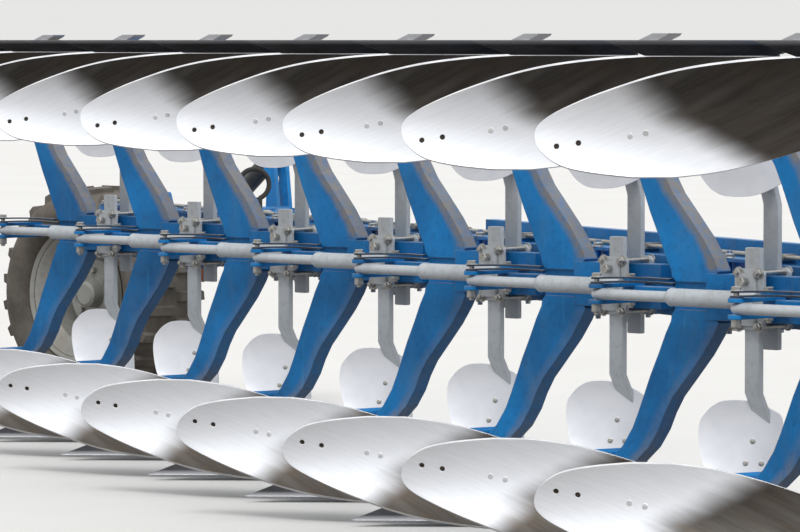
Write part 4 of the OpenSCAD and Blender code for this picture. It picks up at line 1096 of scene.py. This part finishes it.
# %% Nuts, unions and the flange's bolts
TURN = Matrix.Rotation(BEAM_TURN, 4, "Z")
SADDLE_X, SADDLE_Y, SADDLE_TOP = (-0.190, 0.030), 0.096, 0.112
UNION_X, UNION_Z = 0.440, 0.122
PIPES_Y = (-0.024, 0.002)
FLANGE = FRONT + Vector((1.172, 0.350, 0))
FLANGE_R, FLANGE_BOLTS = 0.135, 8


def nuts(sides):
    """All nuts of one pair of saddle plates, about body n's place in the beam's own directions."""
    parts = []
    for x in SADDLE_X:
        for y in sides:
            for up in (1, -1):
                spot = Vector((x, BEAM_OFFSET + y, up * SADDLE_TOP))
                parts.append(bolt(0.0185, TURN @ toward((0, 0, up), spot), 0.011))
    return joined("saddle_nuts", *parts)


def union(y):
    """A pipe union: a long hexagon between two collars, lying along the beam."""
    at = TURN @ toward((1, 0, 0), (UNION_X, BEAM_OFFSET + y, UNION_Z))
    sleeve = [(0.0115, 0.000), (0.0115, 0.060)]
    rear = [(0.0125, 0.008), (0.014, 0.010), (0.014, 0.026)]
    front = [(0.014, 0.034), (0.014, 0.050), (0.0125, 0.052)]
    return [turned(sleeve, zinc, 20, at), turned(rear, zinc, 6, at), turned(front, zinc, 6, at)]


saddle_nuts = nuts((-SADDLE_Y, SADDLE_Y))
for n in BODIES[:-1]:
    mesh = nuts((-SADDLE_Y,)) if n == 1 else saddle_nuts
    place(f"saddle_nuts_{n}", mesh, body_place(n), "frame")
unions = joined("pipe_unions", *union(PIPES_Y[0]), *union(PIPES_Y[1]))
for n in BODIES[1:-2]:
    place(f"pipe_unions_{n}", unions, body_place(n), "frame")
flange_bolts = []
for k in range(FLANGE_BOLTS):
    a = 2 * math.pi * (k + 0.5) / FLANGE_BOLTS
    spot = (0, FLANGE_R * math.cos(a), FLANGE_R * math.sin(a))
    flange_bolts.append(bolt(0.022, toward((-1, 0, 0), spot)))
place("flange_bolts", joined("flange_bolts", *flange_bolts), FLANGE, "frame")
print("saddle nuts", len(saddle_nuts.polygons), "unions", len(unions.polygons))

# %% [markdown]
# ## Reflector
#
# An orange reflector hangs under the second pair of saddle plates, on a short bracket.
# It is a moulded block with a raised rim, and its face is made of tiny cells that throw light back.

# %% Reflector
LENS_X, LENS_Z, LENS_BACK, LENS_FACE = 0.039, 0.025, 0.002, -0.006
BACKING_X, BACKING_LOW, BACKING_TOP = 0.042, -0.028, 0.034


def reflector_plastic():
    """Orange plastic with small cells, under a film of grime."""
    f = Finish("reflector")
    cell = f.add("TexVoronoi", ("Scale", 260), ("Vector", f.coords)).outputs["Distance"]
    grime = f.ramp(f.noise(22.0, 6.0, rough=0.7), (0.4, 0.0), (0.7, 0.5))
    orange = f.mix(f.ramp(cell, (0.1, 0.0), (0.6, 1.0)), (0.55, 0.10, 0.012), (0.72, 0.19, 0.03))
    orange = f.mix(grime, orange, (0.16, 0.12, 0.09))
    rough = f.ramp(grime, (0.0, 0.22), (0.5, 0.6))
    return f.finish(orange, rough, 0.0, f.bump(cell, 0.0006, 0.5), Coat_Weight=0.6)


def oblong(x, low, top):
    return [(-x, low), (x, low), (x, top), (-x, top)]


lens = bevelled(prism(oblong(LENS_X, -LENS_Z, LENS_Z), LENS_FACE, LENS_BACK,
                      reflector_plastic(), "Y", "lens"), 0.003)
backing = bevelled(prism(oblong(BACKING_X, BACKING_LOW, BACKING_TOP), 0.0015, 0.006,
                         dark, "Y", "backing"), 0.0015)
bracket = prism([(0.0055, 0.000), (0.0095, 0.000), (0.0095, 0.030), (0.050, 0.030),
                 (0.050, 0.0345), (0.0055, 0.0345)], -0.020, 0.020, blue, "X", "bracket")
place("reflector", joined("reflector", lens, backing, bracket),
      beam_place(2, 0.030, -0.125, -0.1465), "frame", turn=BEAM_TURN)
print("reflector faces", len(lens.polygons) + len(backing.polygons) + len(bracket.polygons))

# %% [markdown]
# ## Tyre
#
# The land wheel has a wide tyre with two rows of block lugs set half a step apart.
# Its carcass has finer steps than the solid model's, so that it looks moulded.

# %% Carcass of the tyre
WHEEL = (Vector(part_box("tyre")[0]) + Vector(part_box("tyre")[1])) / 2
TYRE_R, RIM_R, LUG_H = 0.500, 0.290, 0.022
CROWN_R = TYRE_R - LUG_H
TYRE_STEPS = 64
# Radius and half width, from the rim up to the middle of the crown
section = [(RIM_R, 0.161), (RIM_R + 0.022, 0.161), (RIM_R + 0.038, 0.181), (RIM_R + 0.058, 0.203),
           (RIM_R + 0.090, 0.218), (0.405, 0.217), (0.432, 0.208), (0.454, 0.190), (0.467, 0.160),
           (0.474, 0.118), (CROWN_R, 0.060), (CROWN_R, 0.0)]
ring = section + [(r, -z) for r, z in reversed(section[:-1])]
wide = len(ring)
points, faces = [], []
for k in range(TYRE_STEPS):
    a = 2 * math.pi * k / TYRE_STEPS
    points += [(r * math.cos(a), z, r * math.sin(a)) for r, z in ring]
    here, ahead = k * wide, (k + 1) % TYRE_STEPS * wide
    faces += [(here + i, here + i + 1, ahead + i + 1, ahead + i) for i in range(wide - 1)]
    faces.append((here + wide - 1, here, ahead, ahead + wide - 1))
carcass = make_mesh("carcass", points, faces, tyre_rubber, 40)
print("carcass faces", len(carcass.polygons))

# %% [markdown]
# ## Lugs
#
# A lug runs from the middle of the crown out to the shoulder and leans down over it.
# It is drawn once, with a narrower top as moulded rubber has, and turned to all its places.

# %% Lugs and the whole tyre
LUGS = 24
LUG_FOOT = [(-0.027, 0.010), (0.027, 0.010), (0.030, 0.186), (-0.024, 0.196)]
LUG_TOP = [(-0.021, 0.016), (0.021, 0.016), (0.021, 0.170), (-0.018, 0.178)]
# Outline, radius, where it starts to lean down, how steeply
LAYERS = [(LUG_FOOT, CROWN_R - 0.018, 0.110, 0.30), (LUG_TOP, TYRE_R, 0.150, 0.35)]
LUG_FACES = [(0, 1, 2, 3), (7, 6, 5, 4), (0, 4, 5, 1), (1, 5, 6, 2), (2, 6, 7, 3), (3, 7, 4, 0)]


def lug(side, a):
    """One lug at an angle; side is 1 or -1."""
    points = []
    for outline, radius, from_y, lean in LAYERS:
        for x, y in outline:
            r = radius - max(0.0, y - from_y) * lean
            points.append((r * math.cos(a) - x * math.sin(a), side * y,
                           r * math.sin(a) + x * math.cos(a)))
    return make_mesh("lug", points, LUG_FACES, tyre_rubber, 20)


lugs = [lug(side, 2 * math.pi * (i + start) / LUGS)
        for side, start in ((1, 0), (-1, 0.5)) for i in range(LUGS)]
tyre_mesh = joined("tyre_mesh", carcass, *lugs)
piece = place("tyre_tread", tyre_mesh, WHEEL, "wheel", "tyre_rubber")
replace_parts(piece, "tyre")
print("tyre triangles", sum(len(p.vertices) - 2 for p in tyre_mesh.polygons))

# %% [markdown]
# ## Floor
#
# The studio floor is a plain pale sheet, large enough that no edge of it shows from any side.
# It throws back less light than it shows, so rods and legs keep a shaded underside.

# %% Floor
FLOOR_HALF = 300


def floor_finish():
    """Pale to the camera, darker to the light that it throws back."""
    f = Finish("floor")
    cloud = f.ramp(f.noise(0.7, 3.0), (0.3, 0.0), (0.7, 1.0))
    tone = f.mix(cloud, (0.60, 0.595, 0.58), (0.63, 0.625, 0.61))
    seen = f.add("LightPath").outputs["Is Camera Ray"]
    return f.finish(f.mix(seen, (0.24, 0.225, 0.21), tone), 0.85)


corners = [(sx * FLOOR_HALF, sy * FLOOR_HALF, 0) for sx, sy in ((-1, -1), (1, -1), (1, 1), (-1, 1))]
mesh = bpy.data.meshes.new("floor")
mesh.from_pydata(corners, [], [(0, 1, 2, 3)])
mesh.materials.append(floor_finish())
floor = bpy.data.objects.new("floor", mesh)
bpy.context.scene.collection.objects.link(floor)
print("floor laid")
